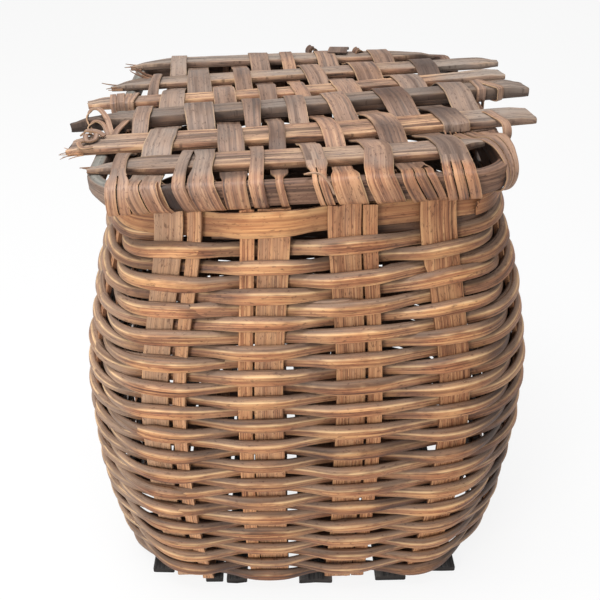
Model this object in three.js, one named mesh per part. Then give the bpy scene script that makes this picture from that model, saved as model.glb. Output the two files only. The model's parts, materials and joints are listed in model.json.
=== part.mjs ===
// A square-bellied splint basket with a woven lid, in millimetres, +Z up
// The front faces -Y, and the lid turns on its back bar along X
import * as THREE from "three";

// Driving dimensions of the body
const footHalf = 170;
const bellySwell = 17;
const neckInset = 17;
const rowsHeight = 356;
const bandHeight = 19;
const uprightThickness = 2.5;
const uprightWidth = 36;
const narrowWidth = 11;
const slitWidth = 3;
const singleWidth = 25;
const weaverThickness = 3;
const bandThickness = 3;
const runnerThickness = 6;
const runnerInset = 3;

// Driving dimensions of the lid
const lidOverhang = 4;
const lidShift = -5.6;
const hoopThickness = 11;
const hoopHeight = 18;
const hoopCorner = 22;
const hoopChamfer = 3;
const hingeBarDiameter = 11;
const lathThickness = 6;
const lathWidth = 22;
const lathTaper = 16;
const splintThickness = 1.3;
const tieThickness = 1.6;
const tieWidth = 6;
const lashingWidth = 5;
const looseEndWidth = 16;

// Clearances
const restGap = 0.3;
const weaveGap = 0.5;
const rowGap = 0.5;
const edgeRoom = 1.5;
const lathRoom = 2;
const lashingRoom = 3;
const footRise = 2.4;
const tipRise = 0.6;
const bendRadius = 5;
const tuckLength = 6;

// How the old basket has settled: its foot turned and its top leaning, in degrees
const footTurn = 0.35;
const lean = 2.15;

// Angles of the wraps and ties round the lid's back bar, in degrees
const wrapEndAngle = -190;
const tieStartAngle = 230;
const tieEndAngle = -50;

// Counts
const sideCount = 4;
const perSide = 4;
const unitCount = sideCount * perSide;
const shiftUnit = unitCount - perSide;
const rowCount = 32;
const turnsPerWeaver = 2;
const levelCount = 12;
const cornerSteps = 5;
const ringSteps = 10;

// Shapes of the wall as shares of its height and half-width
const bellyShare = 0.45;
const footPower = 2.2;
const neckPower = 1.4;
const footSquareness = 5;
const neckSquareness = 3.3;
const innerShare = 0.205;
const outerShare = 0.62;
const uprightShares = [-outerShare, -innerShare, innerShare, outerShare];
const looseEndShare = -0.665;
const bendShare = 0.25;

// Half-widths that follow from the foot's
const bellyHalf = footHalf + bellySwell;
const neckHalf = footHalf - neckInset;
const lidHalf = neckHalf + lidOverhang;

// Heights worked out from the thicknesses below them
const baseLow = runnerThickness + restGap + uprightThickness / 2;
const baseHigh = baseLow + uprightThickness + restGap;
const rowsBottom = baseHigh + uprightThickness / 2 + footRise;
const rowsTop = rowsBottom + rowsHeight;
const bandBottom = rowsTop + rowGap;
const bandTop = bandBottom + bandHeight;
const wrapDepth = restGap + splintThickness;
const tipTop = bandTop + tipRise;
const hoopCentre = tipTop + restGap + wrapDepth + hoopHeight / 2;
const hingeY = lidHalf - hoopThickness / 2;
const wallHeight = tipTop - rowsBottom;

// Colours
const finishes = {
  weaver: { color: 0x7a4c28, roughness: 0.7 },
  upright: { color: 0x8a5a32, roughness: 0.75 },
  band: { color: 0x9a5f2c, roughness: 0.7 },
  runner: { color: 0x3a322c, roughness: 0.9 },
  hoop: { color: 0x7b6650, roughness: 0.8 },
  lath: { color: 0x77604a, roughness: 0.85 },
  splint: { color: 0x7d5840, roughness: 0.8 },
  tie: { color: 0x6d4a30, roughness: 0.8 },
};

const material = (finish) => new THREE.MeshStandardMaterial({ ...finishes[finish], metalness: 0 });
const blend = (a, b, share) => a + (b - a) * share;
const ease = (share) => share * share * (3 - 2 * share);
const radians = THREE.MathUtils.degToRad;

// Each side of the square: its way round and its outward direction
const sides = [0, 1, 2, 3].map((turn) => {
  const angle = (turn * Math.PI) / 2;
  return {
    along: new THREE.Vector3(Math.round(Math.cos(angle)), Math.round(Math.sin(angle)), 0),
    out: new THREE.Vector3(Math.round(Math.sin(angle)), -Math.round(Math.cos(angle)), 0),
  };
});

// Half-width of the wall at a share of its height
function wallHalf(share) {
  if (share < bellyShare) {
    return bellyHalf - (bellyHalf - footHalf) * (1 - share / bellyShare) ** footPower;
  }
  const rise = Math.min(1, (share - bellyShare) / (1 - bellyShare));
  return bellyHalf - (bellyHalf - neckHalf) * ease(rise ** neckPower);
}

// Centre, tangent and outward normal of an upright at a share of the wall's height
function wallFrame(unit, share) {
  const side = sides[Math.floor(unit / perSide)];
  const place = uprightShares[unit % perSide];
  const half = wallHalf(share);
  const power = blend(footSquareness, neckSquareness, share);
  const depth = (1 - Math.abs(place) ** power) ** (1 / power);
  const slope = -Math.sign(place) * (Math.abs(place) / depth) ** (power - 1);
  const cross = side.along.clone().addScaledVector(side.out, slope).normalize();
  const out = new THREE.Vector3(cross.y, -cross.x, 0);
  const centre = side.along.clone().multiplyScalar(place * half).addScaledVector(side.out, depth * half);
  centre.z = rowsBottom + share * wallHeight;
  return { centre, cross, out };
}

const levelShares = Array.from({ length: levelCount + 1 }, (_, i) => i / levelCount);
const wallFrames = Array.from({ length: unitCount }, (_, unit) =>
  levelShares.map((share) => wallFrame(unit, share)));

// A point beside an upright: along its width, out from its middle, at a height
function besideUpright(unit, along, out, z) {
  const level = THREE.MathUtils.clamp(((z - rowsBottom) / wallHeight) * levelCount, 0, levelCount);
  const low = Math.min(Math.floor(level), levelCount - 1);
  const ends = [wallFrames[unit][low], wallFrames[unit][low + 1]].map((frame) =>
    frame.centre.clone().addScaledVector(frame.cross, along).addScaledVector(frame.out, out));
  const point = ends[0].lerp(ends[1], level - low);
  point.z = z;
  return point;
}

// The old basket's set: the foot is turned and the top leans to one side
function settle(point) {
  const rise = Math.min(1, point.z / bandBottom);
  const settled = point.clone().applyAxisAngle(new THREE.Vector3(0, 0, 1), -radians(footTurn) * (1 - rise));
  settled.z += settled.x * Math.tan(radians(lean)) * rise;
  return settled;
}

// Geometry from points and faces, turned so that its faces point out
function closedGeometry(points, faces) {
  let volume = 0;
  for (const [a, b, c] of faces) {
    volume += points[a].dot(points[b].clone().cross(points[c]));
  }
  const turned = volume > 0 ? faces : faces.map(([a, b, c]) => [a, c, b]);
  const geometry = new THREE.BufferGeometry().setFromPoints(points);
  geometry.setIndex(turned.flat());
  geometry.computeVertexNormals();
  return geometry;
}

// A solid swept through sections that each list the same number of points
function sweep(sections, closed = false) {
  const size = sections[0].length;
  const faces = [];
  const steps = closed ? sections.length : sections.length - 1;
  for (let i = 0; i < steps; i += 1) {
    const here = i * size;
    const next = ((i + 1) % sections.length) * size;
    for (let j = 0; j < size; j += 1) {
      const k = (j + 1) % size;
      faces.push([here + j, here + k, next + k], [here + j, next + k, next + j]);
    }
  }
  if (!closed) {
    const last = (sections.length - 1) * size;
    for (let j = 1; j < size - 1; j += 1) {
      faces.push([0, j + 1, j], [last, last + j, last + j + 1]);
    }
  }
  return closedGeometry(sections.flat(), faces);
}

// A flat strip through stations, of which the listed lanes are filled at each step
function lanedStrip(stations, lanes, filled) {
  const across = lanes.length;
  const corner = (station, lane, outer) => (station * across + lane) * 2 + outer;
  const points = stations.flatMap(({ centre, cross, out }) =>
    lanes.flatMap((lane) => [-1, 1].map((face) =>
      centre.clone().addScaledVector(cross, lane).addScaledVector(out, face))));
  const faces = [];
  const quad = (a, b, c, d) => faces.push([a, b, c], [a, c, d]);
  const has = (step, lane) => filled[step]?.[lane] ?? false;
  for (let i = 0; i < stations.length - 1; i += 1) {
    for (let j = 0; j < across - 1; j += 1) {
      if (!has(i, j)) continue;
      quad(corner(i, j, 1), corner(i, j + 1, 1), corner(i + 1, j + 1, 1), corner(i + 1, j, 1));
      quad(corner(i, j, 0), corner(i + 1, j, 0), corner(i + 1, j + 1, 0), corner(i, j + 1, 0));
      if (!has(i, j - 1)) quad(corner(i, j, 0), corner(i, j, 1), corner(i + 1, j, 1), corner(i + 1, j, 0));
      if (!has(i, j + 1)) {
        quad(corner(i, j + 1, 1), corner(i, j + 1, 0), corner(i + 1, j + 1, 0), corner(i + 1, j + 1, 1));
      }
      if (!has(i - 1, j)) quad(corner(i, j, 0), corner(i, j + 1, 0), corner(i, j + 1, 1), corner(i, j, 1));
      if (!has(i + 1, j)) {
        quad(corner(i + 1, j, 1), corner(i + 1, j + 1, 1), corner(i + 1, j + 1, 0), corner(i + 1, j, 0));
      }
    }
  }
  return usedOnly(points, faces);
}

// Drops the points that no face uses
function usedOnly(points, faces) {
  const order = new Map();
  const kept = [];
  const renamed = faces.map((face) => face.map((index) => {
    if (!order.has(index)) {
      order.set(index, kept.length);
      kept.push(points[index]);
    }
    return order.get(index);
  }));
  return closedGeometry(kept, renamed);
}

// An upright's lanes: a wide leg, a slit and a narrow leg, either way round, or one plain leg
const wideWidth = uprightWidth - slitWidth - narrowWidth;
const half = uprightWidth / 2;
const wideFirst = [-half, wideWidth - half, half - narrowWidth, half];
const narrowFirst = wideFirst.map((lane) => -lane).reverse();
const single = [-singleWidth / 2, singleWidth / 2];
const acrossLanes = [wideFirst, narrowFirst, wideFirst, single];
const alongLanes = [narrowFirst, wideFirst, narrowFirst, wideFirst];
const unitLanes = (unit) => {
  const place = unit % perSide;
  const side = Math.floor(unit / perSide);
  const table = side % 2 === 0 ? acrossLanes : alongLanes;
  return side < 2 ? table[place] : table[perSide - 1 - place].map((lane) => -lane).reverse();
};
const unitHalf = (unit) => unitLanes(unit).at(-1);

// Height of an upright's middle in the base where it crosses another
const baseHeight = (own, other, firstIsLow) => ((own + other) % 2 === (firstIsLow ? 0 : 1) ? baseLow : baseHigh);

// The stations of one leg, from its tip down to the end of the base
function legStations(unit, baseZ, tip, crossSign) {
  const reach = wallFrames[unit].map((_, i) => {
    const share = levelShares[levelCount - i];
    const z = Math.min(rowsBottom + share * wallHeight, tip);
    const centre = besideUpright(unit, 0, 0, z);
    const cross = besideUpright(unit, 1, 0, z).sub(centre).normalize().multiplyScalar(crossSign);
    const out = besideUpright(unit, 0, uprightThickness / 2, z).sub(centre);
    return { centre, cross, out };
  });
  const foot = reach.at(-1);
  const side = sides[Math.floor(unit / perSide)];
  const cross = side.along.clone().multiplyScalar(crossSign);
  const down = new THREE.Vector3(0, 0, -uprightThickness / 2);
  const inner = foot.centre.clone().addScaledVector(side.out, -bendRadius).setZ(baseZ);
  const middle = foot.centre.clone().addScaledVector(side.out, -bendRadius * bendShare);
  middle.z = blend(baseZ, rowsBottom, bendShare);
  return [
    ...reach,
    { centre: middle, cross: foot.cross.clone().lerp(cross, 1 / 2), out: foot.out.clone().lerp(down, 1 / 2) },
    { centre: inner, cross, out: down },
  ];
}

// A whole upright: up one side, through the woven base, and up the opposite side
function upright(unit, frontToBack) {
  const place = unit % perSide;
  const opposite = ((Math.floor(unit / perSide) + 2) % sideCount) * perSide + perSide - 1 - place;
  const side = sides[Math.floor(unit / perSide)];
  const lanes = unitLanes(unit);
  const crossings = uprightShares.map((share, other) => ({
    depth: -share * footHalf,
    z: baseHeight(place, frontToBack ? other : perSide - 1 - other, frontToBack),
  }));
  crossings.sort((a, b) => b.depth - a.depth);
  const start = legStations(unit, crossings[0].z, tipOf(unit), 1);
  const end = legStations(opposite, crossings.at(-1).z, tipOf(opposite), -1).reverse();
  const reachPast = uprightWidth / 2 + lathRoom;
  const base = crossings.flatMap(({ depth, z }) => [depth + reachPast, depth - reachPast].map((at) => ({
    centre: side.along.clone().multiplyScalar(uprightShares[place] * footHalf)
      .addScaledVector(side.out, at).setZ(z),
    cross: side.along.clone(),
    out: new THREE.Vector3(0, 0, -uprightThickness / 2),
  })));
  const stations = [...start, ...base, ...end];
  const slit = (step) => step < start.length - 1 || step >= start.length + base.length;
  const filled = stations.slice(1).map((_, step) => (lanes.length === 2 ? [true] : [true, !slit(step), true]));
  return lanedStrip(stations, lanes, filled);
}

// Tips rise to the lid's hoop where it lies over them
function tipOf(unit) {
  const side = Math.floor(unit / perSide);
  return side === 2 ? bandTop : tipTop;
}

// The lower edge of a row, counted in rows from the foot
const rowEdge = (row) => rowsBottom + (rowsHeight * row) / (rowCount + 1);

// One section of a strip that passes an upright outside (1) or inside (-1)
function passSection(unit, edge, sign, low, high, thickness) {
  const along = edge * (unitHalf(unit) + edgeRoom);
  const middle = sign * (uprightThickness / 2 + weaveGap + thickness / 2);
  return [
    besideUpright(unit, along, middle - thickness / 2, low),
    besideUpright(unit, along, middle + thickness / 2, low),
    besideUpright(unit, along, middle + thickness / 2, high),
    besideUpright(unit, along, middle - thickness / 2, high),
  ];
}

// A weaver winds round for its turns and climbs a row in each. The uprights are an even number, so
// the weave skips a beat once a turn, at the back left corner
function weaver(index) {
  const sections = [];
  for (let step = 0; step < turnsPerWeaver * unitCount; step += 1) {
    const turn = index * turnsPerWeaver + Math.floor(step / unitCount);
    const unit = step % unitCount;
    const beat = turn + (unit < shiftUnit ? 0 : 1);
    const sign = (unit + beat) % 2 === 0 ? -1 : 1;
    for (const edge of [-1, 1]) {
      const row = turn + (unit + 1 / 2 + edge / 4) / unitCount;
      sections.push(passSection(unit, edge, sign, rowEdge(row), rowEdge(row + 1) - rowGap, weaverThickness));
    }
  }
  return sweep(sections);
}

// The rim band is woven too, behind these uprights and outside the rest
const behindUnits = [0, 2, 3, 5, 7, 12, 14];
function rimBand() {
  const sections = [];
  for (let unit = 0; unit < unitCount; unit += 1) {
    const sign = behindUnits.includes(unit) ? -1 : 1;
    for (const edge of [-1, 1]) {
      sections.push(passSection(unit, edge, sign, bandBottom, bandTop, bandThickness));
    }
  }
  return sweep(sections, true);
}

// A flat bar along X with narrowed ends, its middle at the origin of its own drawing
function lath(left, right, width, thickness, leftShare, rightShare, taper) {
  const outline = new THREE.Shape([
    [left, (-width / 2) * leftShare],
    [left + taper, -width / 2],
    [right - taper, -width / 2],
    [right, (-width / 2) * rightShare],
    [right, (width / 2) * rightShare],
    [right - taper, width / 2],
    [left + taper, width / 2],
    [left, (width / 2) * leftShare],
  ].map(([x, y]) => new THREE.Vector2(x, y)));
  return new THREE.ExtrudeGeometry(outline, { depth: thickness, bevelEnabled: false });
}

const body = new THREE.Group();
const lid = new THREE.Group();
lid.position.set(lidShift, 0, hoopCentre + lidShift * Math.tan(radians(lean)));
lid.rotation.y = -radians(lean);

function add(group, name, geometry, finish) {
  const mesh = new THREE.Mesh(geometry, material(finish));
  mesh.name = name;
  group.add(mesh);
  return mesh;
}

function addSettled(name, geometry, finish) {
  const position = geometry.getAttribute("position");
  for (let i = 0; i < position.count; i += 1) {
    const point = settle(new THREE.Vector3().fromBufferAttribute(position, i));
    position.setXYZ(i, point.x, point.y, point.z);
  }
  geometry.computeVertexNormals();
  return add(body, name, geometry, finish);
}

const numbered = (name, index) => `${name}_${String(index + 1).padStart(2, "0")}`;

// Runners under the base: place, width and reach as shares of the foot's half-width
const runnerShares = [
  [-0.81, 0.12, 0.9],
  [-0.52, 0.095, 0.97],
  [-0.39, 0.12, 0.98],
  [0.05, 0.18, 0.99],
  [0.475, 0.17, 0.98],
  [0.765, 0.155, 0.93],
];
runnerShares.forEach(([place, width, reach], index) => {
  const reachHalf = reach * footHalf - runnerInset;
  const runner = lath(-reachHalf, reachHalf, width * footHalf, runnerThickness, 1, 1, runnerInset);
  runner.rotateZ(Math.PI / 2);
  runner.translate(place * footHalf, 0, 0);
  addSettled(numbered("base_runner", index), runner, "runner");
});

// Uprights: four from front to back and four from side to side
uprightShares.forEach((_, index) => {
  addSettled(numbered("upright_front_back", index), upright(index, true), "upright");
});
uprightShares.forEach((_, index) => {
  addSettled(numbered("upright_side_side", index), upright(perSide + index, false), "upright");
});

// Weavers and the rim band
for (let index = 0; index < rowCount / turnsPerWeaver; index += 1) {
  addSettled(numbered("weaver", index), weaver(index), "weaver");
}
addSettled("rim_band", rimBand(), "band");

// The hoop's middle line: a square with round corners, and how far each place is from the back
function hoopPath() {
  const middle = hingeY;
  const straight = middle - hoopCorner;
  const corners = [[1, -1], [1, 1], [-1, 1], [-1, -1]];
  return corners.flatMap(([sx, sy], corner) => Array.from({ length: cornerSteps + 1 }, (_, i) => {
    const angle = ((corner - 1) * Math.PI) / 2 + ((i / cornerSteps) * Math.PI) / 2;
    const out = new THREE.Vector3(Math.cos(angle), Math.sin(angle), 0);
    const centre = new THREE.Vector3(sx * straight, sy * straight, 0).addScaledVector(out, hoopCorner);
    return { centre, out };
  }));
}

// The hoop's section: a flat bar with eased edges that grows round along the back
function hoopSection({ centre, out }) {
  const back = THREE.MathUtils.clamp((centre.y - hingeY + hoopCorner) / hoopCorner, 0, 1);
  const wide = blend(hoopThickness, hingeBarDiameter, back) / 2;
  const tall = blend(hoopHeight, hingeBarDiameter, back) / 2;
  const cut = blend(hoopChamfer, hingeBarDiameter * (1 - Math.SQRT1_2), back);
  const corners = [
    [wide, -tall + cut], [wide, tall - cut], [wide - cut, tall], [cut - wide, tall],
    [-wide, tall - cut], [-wide, cut - tall], [cut - wide, -tall], [wide - cut, -tall],
  ];
  return corners.map(([side, up]) => centre.clone().addScaledVector(out, side).setZ(up));
}
add(lid, "lid_hoop", sweep(hoopPath().map(hoopSection), true), "hoop");

// Laths across the lid from the back: place, left and right reach, width and slope, as shares
const lathShares = [
  { place: 0.88, left: 1.03, right: 0.885, width: 0.95, slope: -0.045, ends: [0.25, 0.6] },
  { place: 0.485, left: 1.085, right: 1.19, width: 0.9, slope: 0.015, ends: [0.2, 0.7] },
  { place: 0.175, left: 1.17, right: 1.19, width: 0.9, slope: 0.04, ends: [0.6, 0.8] },
  { place: -0.125, left: 1.18, right: 1.26, width: 0.95, slope: 0.06, ends: [0.3, 0.9] },
  { place: -0.485, left: 1.12, right: 1.17, width: 1.25, slope: 0.025, ends: [0.95, 0.95] },
  { place: -0.79, left: 0.975, right: 0.89, width: 1.15, slope: 0, ends: [0.4, 0.6] },
];
const lathBottom = hoopHeight / 2 + restGap;
const lathTop = lathBottom + lathThickness;
lathShares.forEach(({ place, left, right, width, slope, ends }, index) => {
  const geometry = lath(-left * lidHalf, right * lidHalf, width * lathWidth, lathThickness, ...ends, lathTaper);
  geometry.rotateZ(Math.atan(slope));
  geometry.translate(0, place * lidHalf, lathBottom);
  add(lid, numbered("lid_lath", index), geometry, "lath");
});

// A ribbon in an upright plane: a path of depth and height, its width along X
function ribbon(path, width, thickness, shift, closed = false) {
  const sections = path.map((point, i) => {
    const before = path[i - 1] ?? (closed ? path.at(-1) : null);
    const after = path[i + 1] ?? (closed ? path[0] : null);
    const into = before ? point.clone().sub(before).normalize() : after.clone().sub(point).normalize();
    const away = after ? after.clone().sub(point).normalize() : into;
    const normal = new THREE.Vector2(-into.y - away.y, into.x + away.x).normalize();
    const mitre = thickness / 2 / Math.max(normal.dot(new THREE.Vector2(-into.y, into.x)), 1 / 2);
    const sideX = shift(point.x);
    return [[-1, -1], [1, -1], [1, 1], [-1, 1]].map(([across, face]) => new THREE.Vector3(
      sideX + (across * width) / 2, point.x + normal.x * mitre * face, point.y + normal.y * mitre * face));
  });
  return sweep(sections, closed);
}

// Points round a circle in an upright plane, from one angle to another in degrees
function arc(centreY, centreZ, radius, from, to) {
  return Array.from({ length: ringSteps + 1 }, (_, i) => {
    const angle = radians(blend(from, to, i / ringSteps));
    return new THREE.Vector2(centreY + radius * Math.cos(angle), centreZ + radius * Math.sin(angle));
  });
}

// The lid's splints from the left: places at front and back and width as shares of the lid's
// half-width, the first lath that each goes over, and its first and last lath from the front
const splintShares = [
  { front: -0.797, back: -0.855, width: 0.06, over: 0, laths: [0, 4] },
  { front: -0.7, back: -0.735, width: 0.125, over: 1, laths: [0, 5] },
  { front: -0.535, back: -0.7, width: 0.07, over: 0, laths: [0, 1] },
  { front: -0.425, back: -0.6, width: 0.125, over: 0, laths: [0, 5] },
  { front: -0.3, back: -0.465, width: 0.115, over: 1, laths: [0, 4] },
  { front: -0.19, back: -0.32, width: 0.08, over: 0, laths: [0, 5] },
  { front: -0.086, back: -0.235, width: 0.075, over: 1, laths: [0, 5] },
  { front: 0.094, back: -0.19, width: 0.09, over: 0, laths: [0, 3] },
  { front: 0.217, back: -0.1, width: 0.1, over: 1, laths: [0, 5] },
  { front: 0.373, back: 0.02, width: 0.11, over: 0, laths: [0, 5] },
  { front: 0.526, back: 0.15, width: 0.13, over: 1, laths: [0, 5] },
  { front: 0.69, back: 0.28, width: 0.125, over: 0, laths: [0, 5] },
  { front: 0.795, back: 0.505, width: 0.12, over: 1, laths: [1, 5] },
  { front: 0.91, back: 0.655, width: 0.12, over: 0, laths: [1, 5] },
];
const splintMiddle = splintThickness / 2 + restGap;
function lidSplint({ front, back, width, over, laths: [first, last] }) {
  const outY = lidHalf + splintMiddle;
  const inY = lidHalf - hoopThickness - splintMiddle;
  const topZ = hoopHeight / 2 + splintMiddle;
  const atX = (y) => blend(front, back, (y + lidHalf) / (2 * lidHalf)) * lidHalf;
  const wrap = [
    [-inY, tuckLength + hoopChamfer - topZ], [-inY, hoopChamfer - topZ], [-inY - hoopChamfer, -topZ],
    [hoopChamfer - outY, -topZ], [-outY, hoopChamfer - topZ], [-outY, topZ - hoopChamfer],
    [hoopChamfer - outY, topZ], [-inY - hoopChamfer, topZ],
  ].map(([y, z]) => new THREE.Vector2(y, z));
  const path = first === 0 ? wrap : [];
  const fromFront = [...lathShares].reverse();
  for (let index = first; index <= last; index += 1) {
    const { place, width: lathShare, slope } = fromFront[index];
    const y = place * lidHalf + slope * atX(place * lidHalf);
    const reach = (lathShare * lathWidth) / 2 + lathRoom;
    const z = (index + over) % 2 === 0 ? lathTop + splintMiddle : lathBottom - splintMiddle;
    path.push(new THREE.Vector2(y - reach, z), new THREE.Vector2(y + reach, z));
  }
  if (last === lathShares.length - 1) {
    const radius = hingeBarDiameter / 2 / Math.cos(Math.PI / 8) + splintMiddle;
    const reached = path.at(-1).x;
    if (over) path.push(new THREE.Vector2(reached, lathBottom));
    const meets = Math.acos(THREE.MathUtils.clamp((reached - hingeY) / radius, 0, 1));
    path.push(...arc(hingeY, 0, radius, THREE.MathUtils.radToDeg(meets), wrapEndAngle));
  }
  return ribbon(path, width * lidHalf, splintThickness, atX);
}
splintShares.forEach((row, index) => {
  add(lid, numbered("lid_splint", index), lidSplint(row), "splint");
});

// A closed loop of splint round a rectangle of this half-width, low and high
function splintLoop(halfWidth, low, high, width) {
  const side = halfWidth + splintMiddle;
  const bottom = low - splintMiddle;
  const top = high + splintMiddle;
  const path = [[-side, bottom], [side, bottom], [side, top], [-side, top]];
  return ribbon(path.map(([y, z]) => new THREE.Vector2(y, z)), width, splintThickness, () => 0, true);
}

// Lashings tie three laths to the hoop's side bars, each a loop set across both
const lashingShares = [
  { lath: 3, side: 1 },
  { lath: 2, side: -1 },
  { lath: 4, side: -1 },
];
lashingShares.forEach(({ lath: index, side }, order) => {
  const { place, width, slope } = lathShares[index];
  const alongLath = (width * lathWidth) / 2 + lashingRoom;
  const acrossHoop = hoopThickness / 2 + lashingRoom;
  const x = side * hingeY;
  const loop = splintLoop(Math.hypot(alongLath, acrossHoop), -hoopHeight / 2, lathTop, lashingWidth);
  loop.rotateZ(side * Math.atan2(acrossHoop, alongLath));
  loop.translate(x, place * lidHalf + slope * x, 0);
  add(lid, numbered("lath_lashing", order), loop, "splint");
});

// The last splint's loose end goes round the hoop's right side bar
const looseEnd = splintLoop(hoopThickness / 2, -hoopHeight / 2, hoopHeight / 2, looseEndWidth);
looseEnd.rotateZ(Math.PI / 2);
looseEnd.translate(hingeY, looseEndShare * lidHalf, 0);
add(lid, "hoop_wrap_right", looseEnd, "splint");

// Ties hold the back bar to the rim band: between which uprights, and where in that gap
const tieGaps = {
  hinge_tie_left: { unit: 2 * perSide + 2, share: 0.85 },
  hinge_tie_right: { unit: 2 * perSide, share: 0.85 },
};
Object.entries(tieGaps).forEach(([name, { unit, share: gapShare }]) => {
  const gapEnds = (z) => [[unit, 1], [unit + 1, -1]].map(([at, edge]) =>
    besideUpright(at, edge * (unitHalf(at) + edgeRoom), uprightThickness / 2 + weaveGap, z));
  const [gapStart, gapEnd] = gapEnds(bandTop);
  const x = blend(gapStart.x, gapEnd.x, gapShare);
  const bandFace = (z) => {
    const [from, to] = gapEnds(z);
    return [-1, 1].map((edge) => {
      const share = (x + (edge * tieWidth) / 2 - from.x) / (to.x - from.x);
      return blend(from.y, to.y, share);
    });
  };
  const legIn = (z) => Math.min(...bandFace(z)) - restGap - tieThickness / 2;
  const legOut = (z) => Math.max(...bandFace(z)) + bandThickness + restGap + tieThickness / 2;
  const radius = hingeBarDiameter / 2 / Math.cos(Math.PI / 8) + restGap + tieThickness / 2;
  const path = [
    new THREE.Vector2(legIn(bandBottom), bandBottom),
    new THREE.Vector2(legIn(bandTop), bandTop),
    ...arc(hingeY, hoopCentre, radius, tieStartAngle, tieEndAngle),
    new THREE.Vector2(legOut(bandTop), bandTop),
    new THREE.Vector2(legOut(bandBottom), bandBottom),
  ];
  addSettled(name, ribbon(path, tieWidth, tieThickness, () => x), "tie");
});

const group = new THREE.Group();
group.add(body, lid);
export default group;
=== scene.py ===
import json
import math

import bmesh
import bpy
import numpy as np
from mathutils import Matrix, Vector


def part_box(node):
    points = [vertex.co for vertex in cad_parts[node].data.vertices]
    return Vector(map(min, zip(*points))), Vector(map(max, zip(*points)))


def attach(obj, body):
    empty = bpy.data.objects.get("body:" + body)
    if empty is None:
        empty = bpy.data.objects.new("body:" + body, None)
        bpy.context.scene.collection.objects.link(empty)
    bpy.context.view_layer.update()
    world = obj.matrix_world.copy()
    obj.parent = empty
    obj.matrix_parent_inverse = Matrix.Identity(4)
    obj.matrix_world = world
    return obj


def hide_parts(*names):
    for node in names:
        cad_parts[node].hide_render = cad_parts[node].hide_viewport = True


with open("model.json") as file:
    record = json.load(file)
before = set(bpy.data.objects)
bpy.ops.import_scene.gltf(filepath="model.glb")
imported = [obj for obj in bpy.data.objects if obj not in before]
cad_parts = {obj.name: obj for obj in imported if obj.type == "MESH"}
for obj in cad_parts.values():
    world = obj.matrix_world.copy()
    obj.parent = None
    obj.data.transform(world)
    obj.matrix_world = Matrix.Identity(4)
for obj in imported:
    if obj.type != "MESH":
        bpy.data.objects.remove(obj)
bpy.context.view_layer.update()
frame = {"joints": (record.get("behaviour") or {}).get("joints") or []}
MM = 0.001

# The camera, fitted to the photograph: the picture's width and the focal length are in pixels
PICTURE_WIDTH = 600
PICTURE_FOCAL = 800
CAMERA_PLACE = (-23.1, -669.0, 640.0)
CAMERA_PITCH = 32.56
CAMERA_YAW = 1.76
CAMERA_FOCAL = PICTURE_FOCAL / PICTURE_WIDTH

# Sizes of the frame's solids
UNITS = 16
PER_SIDE = 4
ROWS = 32
FOOT_HALF = 170.0
BELLY_HALF = 187.0
NECK_HALF = 153.0
BELLY_SHARE = 0.45
FOOT_POWER = 2.2
NECK_POWER = 1.4
FOOT_SQUARENESS = 5.0
NECK_SQUARENESS = 3.3
PLACES = (-0.62, -0.205, 0.205, 0.62)
FOOT_TURN = 0.35
ROWS_BOTTOM = 14.0
ROWS_HEIGHT = 356.0
ROW_GAP = 0.5
BAND_HEIGHT = 19.0
TIP_RISE = 0.6
BASE_LOW = 7.55
BASE_HIGH = 10.35
RUNNER_MIDDLE = 3.05
RUNNER_THICKNESS = 5.7
UPRIGHT_WIDTH = 36.0
NARROW_WIDTH = 11.0
SINGLE_WIDTH = 25.0
UPRIGHT_THICKNESS = 2.5
STRIP_THICKNESS = 3.0
BEND_RADIUS = 5.0
HOOP_THICKNESS = 11.0
HOOP_HEIGHT = 18.0
HOOP_CORNER = 22.0
HOOP_CHAMFER = 3.0
HINGE_BAR = 11.0
LATH_THICKNESS = 6.0
LATH_WIDTH = 22.0
SPLINT_THICKNESS = 1.3
TIE_WIDTH = 6.0
TIE_THICKNESS = 1.6
REST_GAP = 0.3

BAND_BOTTOM = ROWS_BOTTOM + ROWS_HEIGHT + ROW_GAP
BAND_TOP = BAND_BOTTOM + BAND_HEIGHT
BAND_MIDDLE = (BAND_BOTTOM + BAND_TOP) / 2
TIP_TOP = BAND_TOP + TIP_RISE
WALL_HEIGHT = TIP_TOP - ROWS_BOTTOM
HOOP_CENTRE = TIP_TOP + 2 * REST_GAP + SPLINT_THICKNESS + HOOP_HEIGHT / 2
LATH_BOTTOM = HOOP_HEIGHT / 2 + REST_GAP
LATH_TOP = LATH_BOTTOM + LATH_THICKNESS
SPLINT_MIDDLE = SPLINT_THICKNESS / 2 + REST_GAP

# The lid's place and lean come from its hinge
hinge = frame["joints"][0]
HINGE_PLACE = np.array(hinge["pos_m"]) / MM
LEAN = math.atan2(-hinge["axis"][2], -hinge["axis"][0])
LID_ORIGIN = np.array([HINGE_PLACE[0], 0.0, HINGE_PLACE[2]])
HINGE_Y = HINGE_PLACE[1]
LID_HALF = HINGE_Y + HOOP_THICKNESS / 2

# How finely strips are drawn
STEP = 4.5

UP, DOWN, RIGHT, LEFT, FORWARD, BACKWARD = (0, 0, 1), (0, 0, -1), (1, 0, 0), (-1, 0, 0), (0, -1, 0), (0, 1, 0)


def mix(a, b, share):
    return a + (b - a) * share


def ease(share):
    share = np.clip(share, 0.0, 1.0)
    return share * share * (3 - 2 * share)


def past(value, start, reach):
    """How far a value is past a start, eased from 0 to 1 over a reach."""
    return ease((value - start) / reach)


def unit(vectors):
    return vectors / np.maximum(np.linalg.norm(vectors, axis=-1, keepdims=True), 1e-9)


def spline(before, start, end, after, part):
    """A point of the smooth curve between start and end."""
    return 0.5 * (
        2 * start
        + (end - before) * part
        + (2 * before - 5 * start + 4 * end - after) * part**2
        + (3 * start - before - 3 * end + after) * part**3
    )


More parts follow.
